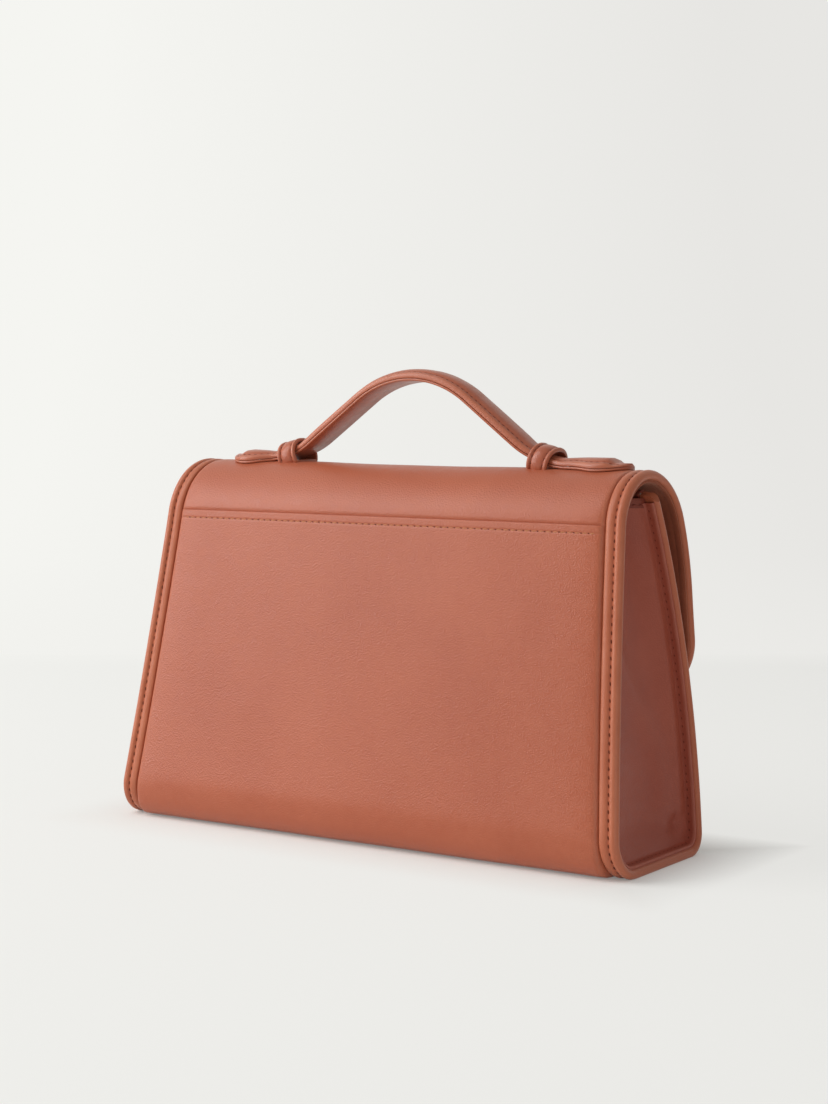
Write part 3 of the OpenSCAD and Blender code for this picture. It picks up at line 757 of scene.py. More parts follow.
rings, line, ups, run = [], [], [], 0.0
path = [dict(way=OVER, side=1, s=s) for s in spaced(over_seam, flap_side_end, RIM_STEP)]
for a in np.radians(np.linspace(CORNER_LEAN, -90, int(FLAP_CORNER_R * 1.65 / RIM_STEP)))[1:]:
    path.append(dict(way=None, side=1, s=0, corner=a))
for x in np.linspace(FLAP_CORNER_C[0], -FLAP_CORNER_C[0], int(2 * FLAP_CORNER_C[0] / RIM_STEP))[1:-1]:
    path.append(dict(way=None, side=1, s=0, low_x=x))
mirror = [dict(q, side=-1) for q in path if "low_x" not in q][::-1]
for q in path + mirror:
    ring = rim_ring(run=run, **q)
    if rings:
        run += float(np.linalg.norm(ring[SIDE_POINT] - rings[-1][SIDE_POINT]))
        ring = rim_ring(run=run, **q)
    rings.append(ring)
    up = np.r_[0, OVER.at(q["s"])[1]] if q["way"] is not None else np.array([0, -1.0, 0])
    ups.append(up)
    line.append(ring[GROOVE] + up * 0.2)
flap_binding_skin = tube("flap_binding_skin", rings, edge_hide, RIM[:, 2])
flap_rim_thread = thread("flap_binding_thread", [(line, ups)], dark_thread_and_hole_shade)

# Gussets
# Section of the gusset where it is sewn to a rim: distance from the edge, depth, part of the way
# from facing the rim (0) to facing sideways (1).
FLANGE = np.array(
    [(1.5, 3.9, 0.0), (1.0, 4.02, 0.0), (0.8, 4.4, 0.0), (0.9, 4.9, 0.0), (1.3, 5.18, 0.0),
     (2.4, 5.26, 0.0), (4.0, 5.34, 0.0), (5.2, 5.6, 0.1), (6.2, 6.1, 0.3), (7.1, 6.9, 0.5),
     (7.8, 8.0, 0.7), (8.25, 9.4, 0.9), (8.5, 11.2, 1.0)]
)
WEB_DEPTH = FLANGE[-1, 1]
GUSSET_SKIN_T = 1.0

# Line of a soft ridge across the gusset, in (y, z)
RIDGE = np.array(
    [(16.0, 97.0), (9.4, 87.6), (0.5, 71.5), (-8.8, 62.0), (-15.0, 51.0), (-17.0, 36.0), (-16.5, 24.0)]
)


def pull_in(y, z):
    """How far the gusset sinks in at a place beyond its flat inset; it is shallow beside the front."""
    y, z = np.broadcast_arrays(np.asarray(y, float), np.asarray(z, float))
    behind_front = y - FRONT_C[0] + np.sqrt(FRONT_R**2 - (z - FRONT_C[1]) ** 2)
    shallow = 4.3 * np.exp(-((np.maximum(behind_front - 6.5, 0) / 9.5) ** 2))
    shallow = np.maximum(shallow, 2.8 * np.exp(-((np.maximum(z - 6, 0) / 6.5) ** 2)))
    span = 0.5 * (1 + np.tanh((z - 8) / 8))
    centre = 6.0 - 0.1 * (z - 40)
    across = np.exp(-(((y - centre) / (8.0 + 0.1 * np.maximum(0, 150 - z))) ** 2))
    hollow = 1.9 * span * across + 3.6 * np.exp(-(((157 - z) / 28.0) ** 2)) * (1 - shallow / 4.3)
    gap = np.full(y.shape, 99.0)
    for (y0, z0), (y1, z1) in zip(RIDGE[:-1], RIDGE[1:]):
        run_y, run_z = y1 - y0, z1 - z0
        t = np.clip(((y - y0) * run_y + (z - z0) * run_z) / (run_y**2 + run_z**2), 0, 1)
        gap = np.minimum(gap, np.hypot(y - y0 - t * run_y, z - z0 - t * run_z))
    ridge = 1.6 * np.exp(-((gap / 7.0) ** 2))
    dimple = 2.8 * np.exp(-(((y + 25.0) / 4.4) ** 2) - (((z - 14.0) / 4.4) ** 2))
    return hollow - shallow - ridge + dimple


def coons(left, right, low, top):
    """Surface over four boundary lines given as points; left and right run upwards."""
    rows, columns = len(left), len(low)
    u = np.linspace(0, 1, columns)[None, :, None]
    v = np.linspace(0, 1, rows)[:, None, None]
    ruled = (1 - u) * left[:, None] + u * right[:, None] + (1 - v) * low[None] + v * top[None]
    low_corners = (1 - v) * ((1 - u) * left[0] + u * right[0])
    return ruled - (low_corners + v * ((1 - u) * left[-1] + u * right[-1]))


def on_corner(centre, radius, turn):
    """Length along the body's path of a place on one of its lower corners."""
    turn = math.radians(turn)
    return BODY.near(centre[0] + radius * math.cos(turn), centre[1] + radius * math.sin(turn))


front_mid_s = on_corner(FRONT_CORNER_C, FRONT_CORNER_R, 227)
back_mid_s = on_corner(BACK_C, BACK_R, 318)
front_top_s = BODY.where(GUSSET_TOP, back=False)
hinge_end_s = BODY.length
UP_ROWS, LOW_COLUMNS = 84, 34
CREST_ROWS = 9


def gusset_outline(depth, top):
    """Boundary lines of the gusset at a depth below the rims, each with its lengths along the path."""
    left_s = np.linspace(front_mid_s, front_top_s, UP_ROWS)
    right_s = np.linspace(back_mid_s, hinge_end_s, UP_ROWS - CREST_ROWS)
    low_s = np.linspace(front_mid_s, back_mid_s, LOW_COLUMNS)
    left, right, low = (BODY.at(s, depth)[0] for s in (left_s, right_s, low_s))
    reach = np.linspace(right[-1][1], top, CREST_ROWS + 1)[1:]
    radius = GUSSET_R - max(0.0, depth - WEB_DEPTH)
    turn = np.arcsin((reach - CREST_C[1]) / radius)
    ahead = np.column_stack([CREST_C[0] + radius * np.cos(turn), reach])
    ease = smooth(np.linspace(0, 1, CREST_ROWS + 1)[1:])
    shift = right[-1][0] - (CREST_C[0] + math.sqrt(GUSSET_R**2 - (right[-1][1] - CREST_C[1]) ** 2))
    ahead[:, 0] += shift * (1 - ease)
    right = np.concatenate([right, ahead])
    left[:, 1] = np.minimum(left[:, 1], top)
    top_line = np.linspace(left[-1], right[-1], LOW_COLUMNS)
    return left, right, low, top_line, (left_s, right_s, low_s)


gusset_skins, gusset_linings = {}, {}
for side, word in SIDES:
    left, right, low, top_line, stations = gusset_outline(WEB_DEPTH, GUSSET_TOP)
    web = coons(left, right, low, top_line)
    inset = GUSSET_IN + pull_in(web[..., 0], web[..., 1])
    points = np.concatenate([(side * (half_w(web[..., 1]) - inset))[..., None], web], -1)
    sheet = Sheet()
    sheet.patch(points, np.array([-side * GUSSET_SKIN_T, 0, 0]), 0.0)
    left_s, right_s, low_s = stations
    around = np.concatenate([left_s[::-1], low_s[1:], right_s[1:]])
    edge_points = np.concatenate([left[::-1], low[1:], right[1 : len(right_s)]])
    rows, steps, wears = [], [], []
    for s, edge_point in zip(around, edge_points):
        p, n = BODY.at(s, FLANGE[:, 1])
        p[-1] = edge_point
        sunk = pull_in(p[:, 0], p[:, 1]) * FLANGE[:, 2]
        x = side * (half_w(p[:, 1]) - FLANGE[:, 0] - sunk)
        rows.append(np.column_stack([x, p]))
        turn = FLANGE[:, 2, None]
        step = np.column_stack([-side * FLANGE[:, 2], n * (1 - turn)])
        steps.append(unit(step) * GUSSET_SKIN_T * 0.85)
        wears.append(np.where(FLANGE[:, 0] < 1.4, 0.5, 0.0))
    sheet.patch(np.array(rows), np.array(steps), np.array(wears))
    gusset_skins[word] = sheet.made("gusset_skin_" + word, gusset_hide_painted_shade, "gusset_leather")

    left, right, low, top_line, _ = gusset_outline(SLIP_IN + 1.6, GUSSET_TOP - 3.5)
    web = coons(left, right, low, top_line)
    inset = GUSSET_IN + GUSSET_T + 0.5 + pull_in(web[..., 0], web[..., 1])
    points = np.concatenate([(side * (half_w(web[..., 1]) - inset - 0.35))[..., None], web], -1)
    points[..., 0] += 0.25 * waves(points, 30.0, 21)
    step = np.array([side * 0.45, 0, 0])
    gusset_linings[word] = one_sheet("gusset_lining_skin_" + word, nap_lining, "suede", points, step)


# Trims at the mouth and on the gussets
# Their stitches lie this far below the edge that they cover.
TRIM_SEAM = 2.5


def cap_section(inner, outer, fall, thick):
    """Section of a strip folded over an edge: distance through it and height over the edge."""
    half, centre = (outer - inner) / 2, (outer + inner) / 2
    round_h = min(half, 1.4)
    # One leg from its hem up, with the groove of its stitches: distance outwards, height
    leg = [(-0.15, -fall), (0.05, -fall + 0.4)]
    leg += [(0.05, -TRIM_SEAM - 0.4), (-0.12, -TRIM_SEAM), (0.05, -TRIM_SEAM + 0.4)]
    out = [(inner - proud, height) for proud, height in leg]
    for a in np.radians(np.linspace(180, 0, 13)):
        across = math.copysign(abs(math.cos(a)) ** 0.6, math.cos(a))
        out.append((centre + half * across, thick - round_h + round_h * math.sin(a) ** 0.8))
    out += [(outer + proud, height) for proud, height in leg[::-1]]
    out += [(outer - thick, -fall), (outer - thick, -0.6), (inner + thick, -0.6), (inner + thick, -fall)]
    return np.array(out)


flange_threads = {}
for side, word in SIDES:
    s = spaced(front_top_s + 2.0, hinge_end_s - 6.0, 1.0)
    p, n = BODY.at(s, 5.32)
    line = from_edge(side, STITCH_IN, p)
    flange_threads[word] = thread(
        "flange_thread_" + word, [(line, upright(-n))], gusset_thread, height=0.13
    )

front_top, front_out = BODY.at(0.0)
front_up = np.array([front_out[1], -front_out[0]])
section = cap_section(-0.45, SLIP_IN + 0.55, 6.0, 1.3)
rings = []
mouth_half = half_w(160.0) - 8.25
mouth_end = half_w(160.0) - 7.15
# Beyond the last stitches the strip is a short solid block that hides the ends of the boards
block_foot = np.where(section[:, :1] < 1.7, -2.4, -4.5)
block = np.where(section[:, 1:] < -0.5, block_foot, section[:, 1:])
beyond = np.array([mouth_half + 0.02, mouth_end])
places = np.concatenate([-beyond[::-1], spaced(-mouth_half, mouth_half, 2.5), beyond])
for x in places:
    lift = 0.12 * noise.noise(Vector((x / 30, 0, 4)))
    reach = section[:, 1:] if abs(x) <= mouth_half else block
    p = front_top - section[:, :1] * front_out + (reach + lift) * front_up
    rings.append(np.column_stack([np.full(len(p), x), p]))
top_wear = np.where(section[:, 1] > 0, 0.4, 0.0)
mouth_trim_skin = tube("mouth_trim_skin", rings, trim_hide_painted_shade, top_wear)
lines = []
for depth, way in ((-0.42, 1), (SLIP_IN + 0.52, -1)):
    x = spaced(-mouth_half + 2, mouth_half - 2, 2.0)
    p = front_top - depth * front_out - TRIM_SEAM * front_up
    lines.append((along_x(x, p), upright(np.tile(way * front_out, (len(x), 1)))))
mouth_thread = thread("mouth_thread", lines, dark_thread_and_hole_shade)

gusset_trims, gusset_threads = {}, {}
for side, word in SIDES:
    left, right, _, _, _ = gusset_outline(SLIP_IN + 1.6, GUSSET_TOP)
    y0, y1 = left[-1][0] - 2.0, right[-1][0] + 0.6
    section = cap_section(GUSSET_IN - 0.25, GUSSET_IN + GUSSET_T + 0.5, 4.0, 0.5)
    rings, lines = [], []
    for y in spaced(y0, y1, 1.2):
        z = GUSSET_TOP + section[:, 1]
        sink = pull_in(np.full(len(z), y), np.minimum(z, GUSSET_TOP))
        rings.append(np.column_stack([side * (half_w(z) - section[:, 0] - sink), np.full(len(z), y), z]))
    top_wear = np.where(section[:, 1] > 0, 0.4, 0.0)
    gusset_trims[word] = tube("gusset_trim_skin_" + word, rings, trim_hide_painted_shade, top_wear)
    for depth, way in ((GUSSET_IN - 0.45, 1), (GUSSET_IN + GUSSET_T + 0.5, -1)):
        y = spaced(y0 + 1.5, y1 - 1.0, 1.0)
        z = np.full(len(y), GUSSET_TOP - TRIM_SEAM)
        line = np.column_stack([side * (half_w(z) - depth - pull_in(y, z)), y, z])
        lines.append((line, np.tile([side * way, 0, 0], (len(y), 1))))
    gusset_threads[word] = thread("gusset_trim_thread_" + word, lines, gusset_thread)

# Lining
LINING_EDGE = np.array(
    [(10.0, 0.0), (11.0, 0.0), (13.0, 0.0), (16.0, 0.0), (20.0, 0.0), (26.0, 0.0)]
)


def lining_grid(way, lengths, depth_at, step, crease=0.0):
    """Grid of lining leather that faces inwards; crease is the height of its soft unevenness."""
    rows, steps = [], []
    for s in lengths:
        x, inset, _ = field_columns(half_w(way.at(s)[0][1]), LINING_EDGE)
        p, n = way.at(s, np.full(len(x), depth_at(s)))
        p = p - n * (crease * (0.5 + 0.5 * waves(np.column_stack([x, p]), 34.0, 31)))[:, None]
        rows.append(from_edge(np.sign(x), inset, p))
        steps.append(upright(n * step))
    return np.array(rows), np.array(steps)


grid = lining_grid(BODY, spaced(2.5, BODY.where(144.0), 2.6), lambda s: SLIP_IN, 0.45, 0.3)
lining_skin = one_sheet("lining_skin", nap_lining, "suede", *grid)

SLIP_HALF, SLIP_Z, SLIP_H = 80.0, 46.0, 78.0
rows, steps, lines = [], [], []
slip_end = BODY.where(SLIP_Z + SLIP_H)
hem_start = slip_end - 6
slip_lengths = np.concatenate([
    spaced(BODY.where(SLIP_Z), hem_start, 2.4)[:-1], spaced(hem_start, slip_end, 0.5),
])
for s in slip_lengths:
    x = np.linspace(-SLIP_HALF, SLIP_HALF, 60)
    up = smooth((BODY.at(s)[0][1] - SLIP_Z) / 30)
    hem = 0.35 * (slip_lengths[-1] - s < 5.2) - 0.25 * (abs(slip_lengths[-1] - s - 4.6) < 0.3)
    open_by = 0.9 * up * (1 - (np.abs(x) / SLIP_HALF) ** 4)
    p, n = BODY.at(s, SLIP_IN + 0.75 + hem + open_by)
    rows.append(np.column_stack([x, p]))
    steps.append(upright(n * 0.6))
slip_skin = one_sheet("slip_pocket_skin", nap_lining, "suede", np.array(rows), np.array(steps))


def inside_line(s, x, depth):
    """Line of stitches across the inside at a length along the body."""
    p, n = BODY.at(s, np.broadcast_to(depth, x.shape))
    return np.column_stack([x, p]), upright(-n)


x = np.linspace(-SLIP_HALF + 2, SLIP_HALF - 2, 50)
hem_depth = SLIP_IN + 1.05 + 0.9 * (1 - (np.abs(x) / SLIP_HALF) ** 4)
lines = [
    inside_line(slip_lengths[-1] - 4.6, x, hem_depth),
    inside_line(slip_lengths[0] + 2, x, SLIP_IN + 0.8),
]
for side in (-1, 1):
    s = spaced(slip_lengths[0] + 2, slip_lengths[-1] - 1, 2.0)
    p, n = BODY.at(s, SLIP_IN + 0.85)
    lines.append((np.column_stack([np.full(len(s), side * (SLIP_HALF - 2)), p]), upright(-n)))
slip_thread = thread("slip_pocket_thread", lines, dark_thread_and_hole_shade)

# Lining of the flap: it starts inside the back, crosses the bend and ends at the rolled edge.
FLAP_LINING_EDGE = np.array(
    [(0.95, 4.2), (0.8, 4.5), (0.85, 4.9), (1.2, 5.15), (2.0, 5.2), (3.2, 5.26), (3.6, 5.12),
     (4.0, 5.26), (6.0, 5.24), (9.0, 5.22), (14.0, 5.2), (20.0, 5.2), (26.0, 5.2)]
)


def flap_lining_depth(p, x, inset, depth):
    """Inner face of the flap; inside the back it lies on the lining of the body."""
    line = along_x(x, p)
    inner = smooth((inset - 4) / 6)
    back = 1 - smooth((p[1] - 147.0) / 5.0) if p[0] > CREST_C[0] else 0.0
    return depth + 0.12 * (1 + waves(line, 30.0, 41)) * inner - 0.1 * back


flap_inner = flap_sheet(
    HINGE_S + 0.4, FLAP_LINING_EDGE, flap_lining_depth, 0.9,
    lambda inset: np.where(inset < 1.1, 0.4, 0.0), row_step=1.6,
)
flap_lining_skin = flap_inner.made("flap_lining_skin", nap_lining, "suede")


def bend_depth(s):
    """Depth of the strip that closes the inside of the bend: from the body's lining to the flap's."""
    low, high = SLIP_IN + 0.35, FLAP_IN + 0.5
    return low + (high - low) * smooth((s - HINGE_S + 3.5) / 3.5)


grid = lining_grid(OVER, spaced(HINGE_S - 9.0, HINGE_S + 5.0, 0.5), bend_depth, 0.4)
bend_lining = one_sheet("bend_lining_skin", nap_lining, "suede", *grid)

# Handle
# Upper leather of the strap: distance from its edge, height over its underside, wear
STRAP = np.array(
    [(0.35, 1.2, 0.1), (0.0, 1.5, 0.3), (-0.1, 2.1, 0.35), (0.0, 2.9, 0.4), (0.4, 3.55, 0.45),
     (1.0, 3.95, 0.35), (1.7, 4.1, 0.1), (2.1, 4.02, 0.0), (2.45, 4.3, 0.1), (3.0, 4.75, 0.2),
     (4.0, 5.2, 0.15), (5.6, 5.55, 0.1), (8.4, 5.7, 0.1)]
)
UNDER = np.array(
    [(0.3, 0.0, 0.0), (0.05, 0.18, 0.3), (-0.1, 0.55, 0.4), (0.05, 0.95, 0.3), (0.4, 1.1, 0.0)]
)
STRAP_UNDERSIDE = 1.14
TIP_ROUND = 13.2
# Lengths from the top of the handle at which the straight of its arm starts and ends, and at which
# the strap lies flat
ARM = math.radians(ARM_A)
ARM_START = APEX_R * ARM
ARM_END = ARM_START + (GRIP_H - (APEX_R + ROOT_R) * (1 - math.cos(ARM))) / math.sin(ARM)
FLAT_START = ARM_END + ROOT_R * ARM


def strap_station(q):
    """Underside (x, z) of the strap at a length from the top of the handle, and its turn there."""
    if q < ARM_START:
        a = q / APEX_R
        return APEX_R * math.sin(a), REST_Z + GRIP_H - APEX_R * (1 - math.cos(a)), a
    if q < ARM_END:
        t = q - ARM_START
        x = APEX_R * math.sin(ARM) + t * math.cos(ARM)
        return x, REST_Z + GRIP_H - APEX_R * (1 - math.cos(ARM)) - t * math.sin(ARM), ARM
    if q < FLAT_START:
        a = ARM - (q - ARM_END) / ROOT_R
        return HALF_SPAN - ROOT_R * math.sin(a), REST_Z + ROOT_R * (1 - math.cos(a)), a
    return HALF_SPAN + q - FLAT_START, REST_Z, 0.0


def strap_half(x, tip):
    """Half width of the strap: it widens into a leaf and ends in a rounded tip."""
    u = tip - x
    if u < TIP_ROUND:
        return LEAF_HALF * max(0.0, 1 - ((TIP_ROUND - u) / TIP_ROUND) ** 2) ** 0.46
    return LEAF_HALF - (LEAF_HALF - STRAP_HALF) * float(smooth((u - TIP_ROUND) / 12.0)) - 1.6 * pinch(x)


def pinch(x):
    """How much a keeper squeezes the strap at a place, from 0 to 1."""
    away = x - KEEPER_IN - KEEPER_W / 2
    return math.exp(-((away / (14.0 if away > 0 else 9.0)) ** 2))


def strap_point(side, q, across, height):
    """Point of the strap: across it, and over its underside. It leans, then drapes over the crest."""
    x, z, a = strap_station(q)
    px, pz = x + math.sin(a) * height, z + math.cos(a) * height
    flat = float(smooth((x - 62) / 20))
    drift = LEFT_DRIFT * float(smooth((x - 76) / 24)) if side > 0 else 0.0
    lean = math.radians(HANDLE_LEAN) * (1 - flat)
    h = pz - REST_Z
    y = HANDLE_Y + drift - 0.4 * (1 - flat) + across * math.cos(lean) - h * math.sin(lean)
    z = REST_Z + across * math.sin(lean) + h * math.cos(lean)
    run = HANDLE_Y + drift + across - CREST_C[0]
    radius = SHOULDER_R + 0.35
    z -= flat * (radius - math.sqrt(radius**2 - run**2))
    return side * px, y, z


def strap_lengths(tip):
    """Lengths along half of the strap, closer together at the tip."""
    end = FLAT_START + tip - HALF_SPAN
    near = end - TIP_ROUND
    u = np.linspace(0, 1, 26) ** 2
    return np.concatenate([spaced(0, near, 0.8)[:-1], end - (u[::-1] * TIP_ROUND)]), end


def flattened(q, end, crown=1.0):
    """Share of its padded height that the strap keeps: less in a keeper, in a leaf and at a tip."""
    x = strap_station(q)[0]
    share = 1 - crown * 0.60 * (1 - float(smooth((end - q - 4.5) / 4.5)))
    return share * (1 - crown * (0.30 * pinch(x) + 0.16 * float(smooth((x - 72) / 10))))


def strap_width(q, tip):
    """Half width of the strap at a length, and how much of its full width that is, at most 1."""
    half = max(strap_half(strap_station(q)[0], tip), 0.25)
    return half, min(1.0, half / STRAP_HALF)


def both_sides(profile):
    """Rows of a profile over one side of the strap and back over the other, each with its side."""
    other = profile[profile[:, 0] < STRAP_HALF][::-1]
    return [(1, *row) for row in profile] + [(-1, *row) for row in other]


def strap_rings(side, tip, profile, crown):
    """Rings of one layer of the strap. crown lowers the padded height towards the tip."""
    lengths, end = strap_lengths(tip)
    base = profile[0, 1]
    rings = []
    for q in lengths:
        half, shrink = strap_width(q, tip)
        low = flattened(q, end, crown)
        bump = 0.05 * noise.noise(Vector((q / 11, side * 2.0, 0.5)))
        ring = []
        for sign, e, h, _ in both_sides(profile):
            across = sign * (half - e * shrink) if e < STRAP_HALF else 0.0
            height = base + (h - base) * low + (bump if h > 3 else 0)
            ring.append(strap_point(side, q, across, height))
        if crown:
            ring += [strap_point(side, q, across * half, STRAP_UNDERSIDE) for across in (-0.5, 0.0, 0.5)]
        rings.append(ring)
    return np.array(rings)


def side_wear(profile, extra):
    """Wear of a ring of the strap: both sides of a profile, and further points without any."""
    return np.array([row[-1] for row in both_sides(profile)] + [0.0] * extra)


def strap_stitches(side, tip, inset, height):
    """Lines of stitches along both edges of a half of the strap, round its tip."""
    lengths, end = strap_lengths(tip)
    edges = []
    for sign in (1, -1):
        line, ups = [], []
        for q in lengths:
            if end - q < 2.2:
                break
            half, shrink = strap_width(q, tip)
            reach = sign * (half - inset * shrink)
            h = STRAP[0, 1] + (height - STRAP[0, 1]) * flattened(q, end)
            p = np.array(strap_point(side, q, reach, h))
            line.append(p)
            ups.append(np.array(strap_point(side, q, reach, h + 1)) - p)
        edges.append((line, ups))
    return edges


strap_skins, strap_unders, strap_threads = {}, {}, {}
for side, word in SIDES:
    tip = LEAF_TIP[side]
    rings = strap_rings(side, tip, STRAP, 1.0)
    strap_skins[word] = tube("strap_skin_" + word, rings, strap_hide, side_wear(STRAP, 3))
    rings = strap_rings(side, tip, UNDER, 0.0)
    wear = side_wear(UNDER, 0)
    strap_unders[word] = tube("strap_under_skin_" + word, rings, strap_hide, wear)
    lines = strap_stitches(side, tip, 2.1, 4.1)
    strap_threads[word] = thread(
        "strap_thread_" + word, lines, strap_sewing,
        pitch=3.0, length=2.1, width=0.3, height=0.22,
    )

# Keepers: section across the band (place along the strap, height over the inner face, wear)
BAND = np.array(
    [(-5.05, 0.05, 0.1), (-5.25, 0.5, 0.4), (-5.15, 1.15, 0.5), (-4.7, 1.68, 0.5), (-4.1, 1.8, 0.3),
     (-3.5, 1.55, 0.1), (-3.05, 1.0, 0.0), (-2.6, 1.3, 0.1), (-1.8, 1.62, 0.15), (0.0, 1.72, 0.1)]
)
BAND = np.concatenate([BAND, BAND[-2::-1] * [-1, 1, 1]])
BAND_GROOVE = 3.05
# Part of a keeper's path that is stitched: all but its base under the strap
KEEPER_SEAM = slice(2, 67)


def keeper_path():
    """Inner line of a keeper round the strap, in (y, z) from the strap's underside, and its normals."""
    turn = np.radians(np.linspace(0, 180, 57))
    rise = 6.3
    y = KEEPER_HALF * np.sign(np.cos(turn)) * np.abs(np.cos(turn)) ** 0.95
    z = KEEPER_HEAD - rise + rise * np.sin(turn) ** 0.9
    leg = np.linspace(-0.6, KEEPER_HEAD - rise, 7)
    tuck = KEEPER_HALF - 0.5 * smooth((1.6 - leg) / 2.4)
    base = np.linspace(-1, 1, 17)[1:-1] * tuck[0]
    y = np.r_[tuck, y[1:-1], -tuck[::-1], base]
    z = np.r_[leg, z[1:-1], leg[::-1], np.full(len(base), -0.6)]
    p = np.column_stack([y, z])
    t = np.roll(p, -1, axis=0) - np.roll(p, 1, axis=0)
    n = unit(np.column_stack([t[:, 1], -t[:, 0]]))
    for _ in range(3):
        n = (np.roll(n, 1, axis=0) + n * 2 + np.roll(n, -1, axis=0)) / 4
    return p, unit(n)


def keeper_point(side, u, p):
    """Point of a keeper, sloped along the strap and set on the crest."""
    slope = math.radians(KEEPER_SLOPE)
    x = u * math.cos(slope) + side * p[1] * math.sin(slope)
    z = -side * u * math.sin(slope) + p[1] * math.cos(slope)
    return side * (KEEPER_IN + KEEPER_W / 2) + x, HANDLE_Y + p[0], REST_Z + z


keeper_skins, keeper_threads = {}, {}
path, normals = keeper_path()
for side, word in SIDES:
    rings = [[keeper_point(side, u, p + n * h) for u, h, _ in BAND] for p, n in zip(path, normals)]
    keeper_skins[word] = tube(
        "keeper_skin_" + word, rings, strap_hide, BAND[:, 2], closed=True
    )
    lines = []
    # The threads lie in the grooves of the band, over the strap and down its legs
    for u in (-BAND_GROOVE, BAND_GROOVE):
        low, high = (
            np.array([keeper_point(side, u, p + n * h) for p, n in zip(path, normals)])[KEEPER_SEAM]
            for h in (1.12, 2.12)
        )
        lines.append((low, high - low))
    keeper_threads[word] = thread(
        "keeper_thread_" + word, lines, dark_thread_and_hole_shade,
        pitch=2.9, length=2.0, width=0.3, height=0.22,
    )

# Stitches of the pocket mouth
x = spaced(-(half_w(POCKET_MOUTH) - 11.5), half_w(POCKET_MOUTH) - 11.5, 2.0)
s = pocket_s - HEM
inset = half_w(OVER.at(s)[0][1]) - np.abs(x)
depth = pocket_shape(s, x, inset, np.full(len(x), FIELD_EDGE[-1, 1])) - 0.06
p, n = OVER.at(s, depth)
line, ups = np.column_stack([x, p]), upright(n)
pocket_thread = thread("pocket_thread", [(line, ups)], tan_thread, length=2.5)
# Short dark marks between the tan stitches of the pocket mouth: painted shade of the stitch holes.
gap = STITCH_PITCH / 2
held = (x > x[0] + gap) & (x < x[-1] - gap)
line = np.concatenate([line[:1] + [[gap, 0, 0]], line[held], line[-1:] - [[gap, 0, 0]]])
ups = np.concatenate([ups[:1], ups[held], ups[-1:]])
pocket_hole_shade = thread(
    "pocket_hole_painted_shade", [(line, ups)], dark_thread_and_hole_shade,
    length=1.1, width=0.34, height=0.2, slant=-30.0,
)


BEND_OUTER, BEND_INNER = (25.5, 38.5), (29.5, 42.5)
bag = {
    pocket_skin: ["pocket_panel"], front_skin: ["front_panel"], base_skin: ["base_panel"],
    binding_skins["left"]: ["binding_left"], binding_skins["right"]: ["binding_right"],
    gusset_skins["left"]: ["gusset_left"], gusset_skins["right"]: ["gusset_right"],
    gusset_trims["left"]: ["gusset_trim_left"], gusset_trims["right"]: ["gusset_trim_right"],
    mouth_trim_skin: ["mouth_trim"], lining_skin: ["back_lining", "base_lining", "front_lining"],
    gusset_linings["left"]: ["gusset_lining_left"], gusset_linings["right"]: ["gusset_lining_right"],
    slip_skin: ["slip_pocket"], pocket_thread: [], pocket_hole_shade: [], mouth_thread: [], slip_thread: [],
}
for group in (rim_threads, gusset_threads, flange_threads):
    bag.update({piece: [] for piece in group.values()})
for piece, nodes in bag.items():
    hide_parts(*nodes)
    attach(piece, "bag")

for piece, nodes, span in (
    (flap_skin, ["flap_panel", "back_panel"], BEND_OUTER),
    (flap_binding_skin, ["flap_binding"], BEND_OUTER),
    (flap_rim_thread, [], BEND_OUTER),
    (bend_lining, [], BEND_INNER),
    (flap_lining_skin, ["flap_lining"], BEND_INNER),
):
    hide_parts(*nodes)
    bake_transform(piece)

for sign, word in SIDES:
    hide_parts("keeper_" + word)
    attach(keeper_skins[word], "flap")
    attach(keeper_threads[word], "flap")
    for piece, nodes in (
        (strap_skins[word], ["handle_strap", "handle_padding", "leaf_" + word]),
        (strap_unders[word], ["handle_under_strap", "leaf_under_" + word]),
        (strap_threads[word], []),
    ):
        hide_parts(*nodes)
        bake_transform(piece)

for name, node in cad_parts.items():
    if node.hide_render:
        continue
    node.data.materials.clear()
    node.data.materials.append(plate if "magnet" in name else board)


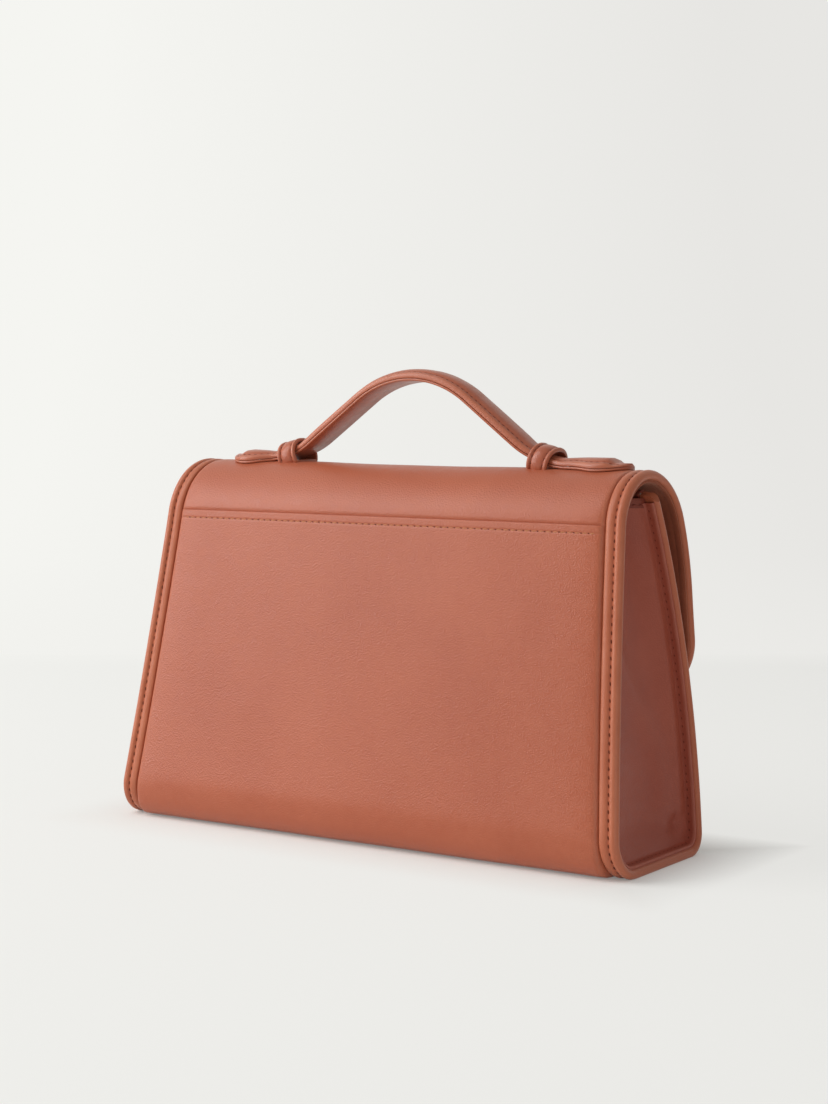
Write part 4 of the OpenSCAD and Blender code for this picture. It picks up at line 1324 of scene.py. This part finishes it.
# Studio
def backdrop():
    """One seamless sweep: floor, curve and wall behind the bag, square to the camera."""
    profile = [(-3.0, 0.0), (0.0, 0.0), (1.6, 0.0)]
    turns = np.radians(np.linspace(4, 90, 24))
    profile += [(1.6 + 1.4 * math.sin(a), 1.4 - 1.4 * math.cos(a)) for a in turns]
    profile += [(3.0, 4.5)]
    widths = np.linspace(-4.5, 4.5, 7)
    points = [(float(w), run, height) for run, height in profile for w in widths]
    mesh = bpy.data.meshes.new("backdrop")
    mesh.from_pydata(points, [], grid_faces(len(profile), len(widths)))
    n = Nodes("backdrop")
    stage = n.finished(
        Base_Color=n.mix(n.noise(3.0), srgb(241, 243, 240), srgb(243, 242, 238)),
        Roughness=n.span(n.noise(40.0), 0.3, 0.7, 0.85, 0.95), Specular_IOR_Level=0.1,
    )
    split = n.add("ShaderNodeSeparateXYZ", Vector=n.place)
    # Local X runs to the right of the picture; beyond the bag the sweep shows a pale glow to camera rays,
    # with painted light that is brighter at the left of the picture and falls off to its right
    side = n.span(split.outputs["X"], -0.55, 0.55)
    graded_glow_painted_light = n.add("ShaderNodeEmission", Color=n.mix(side, srgb(245, 245, 241), srgb(231, 230, 227)))
    rays = n.add("ShaderNodeLightPath")
    seen = n.math("MAXIMUM", rays.outputs["Is Camera Ray"], rays.outputs["Is Glossy Ray"])
    seen = n.math("MAXIMUM", seen, rays.outputs["Is Transmission Ray"])
    # How far the floor is from the bag's foot: beside it the shadow is kept, further off it is softer
    world = n.add("ShaderNodeSeparateXYZ", Vector=n.add("ShaderNodeNewGeometry").outputs["Position"])
    aside = n.math("SUBTRACT", n.math("ABSOLUTE", world.outputs["X"]), BOTTOM_W / 2 * MM)
    ahead = n.math("SUBTRACT", n.math("ABSOLUTE", world.outputs["Y"]), DEPTH / 2 * MM)
    away = n.math("MAXIMUM", aside, ahead)
    soft = n.span(away, 0.0, 0.035, 0.22, 0.86)
    far = n.span(split.outputs["Y"], 0.05, 0.7, 0.0, 1.0)
    plain = n.math("MAXIMUM", soft, far)
    mixed = n.tree.nodes.new("ShaderNodeMixShader")
    n.put(mixed.inputs[0], n.math("MULTIPLY", seen, plain))
    n.put(mixed.inputs[1], n.shader.outputs[0])
    n.put(mixed.inputs[2], graded_glow_painted_light.outputs[0])
    n.put(n.tree.nodes["Material Output"].inputs["Surface"], mixed.outputs[0])
    mesh.materials.append(stage)
    for polygon in mesh.polygons:
        polygon.use_smooth = True
    sweep = bpy.data.objects.new("backdrop", mesh)
    sweep.rotation_euler = (0, 0, math.pi + yaw)
    bpy.context.scene.collection.objects.link(sweep)


backdrop()


def softbox(name, place, target, size, power):
    """An area lamp that faces a target; places and sizes are in metres, power in watts."""
    lamp = bpy.data.lights.new(name, "AREA")
    lamp.shape = "RECTANGLE"
    lamp.size, lamp.size_y = size
    lamp.energy = power
    thing = bpy.data.objects.new(name, lamp)
    bpy.context.scene.collection.objects.link(thing)
    thing.location = place
    thing.rotation_mode = "QUATERNION"
    thing.rotation_quaternion = (Vector(target) - Vector(place)).to_track_quat("-Z", "Y")


softbox("key", (1.05, 0.80, 0.64), (0, 0, 0.1), (1.0, 1.0), 13.0)
softbox("top", (0.70, 0.60, 1.42), (0, 0, 0.1), (0.9, 0.9), 7.5)
softbox("fill", (-0.85, 0.45, 0.10), (-0.13, 0, 0.05), (0.35, 0.35), 0.7)

world = bpy.data.worlds.new("studio")
bpy.context.scene.world = world
world.use_nodes = True
world.node_tree.nodes["Background"].inputs["Color"].default_value = srgb(247, 248, 247)
world.node_tree.nodes["Background"].inputs["Strength"].default_value = 0.44
bpy.context.scene.view_settings.view_transform = "Standard"
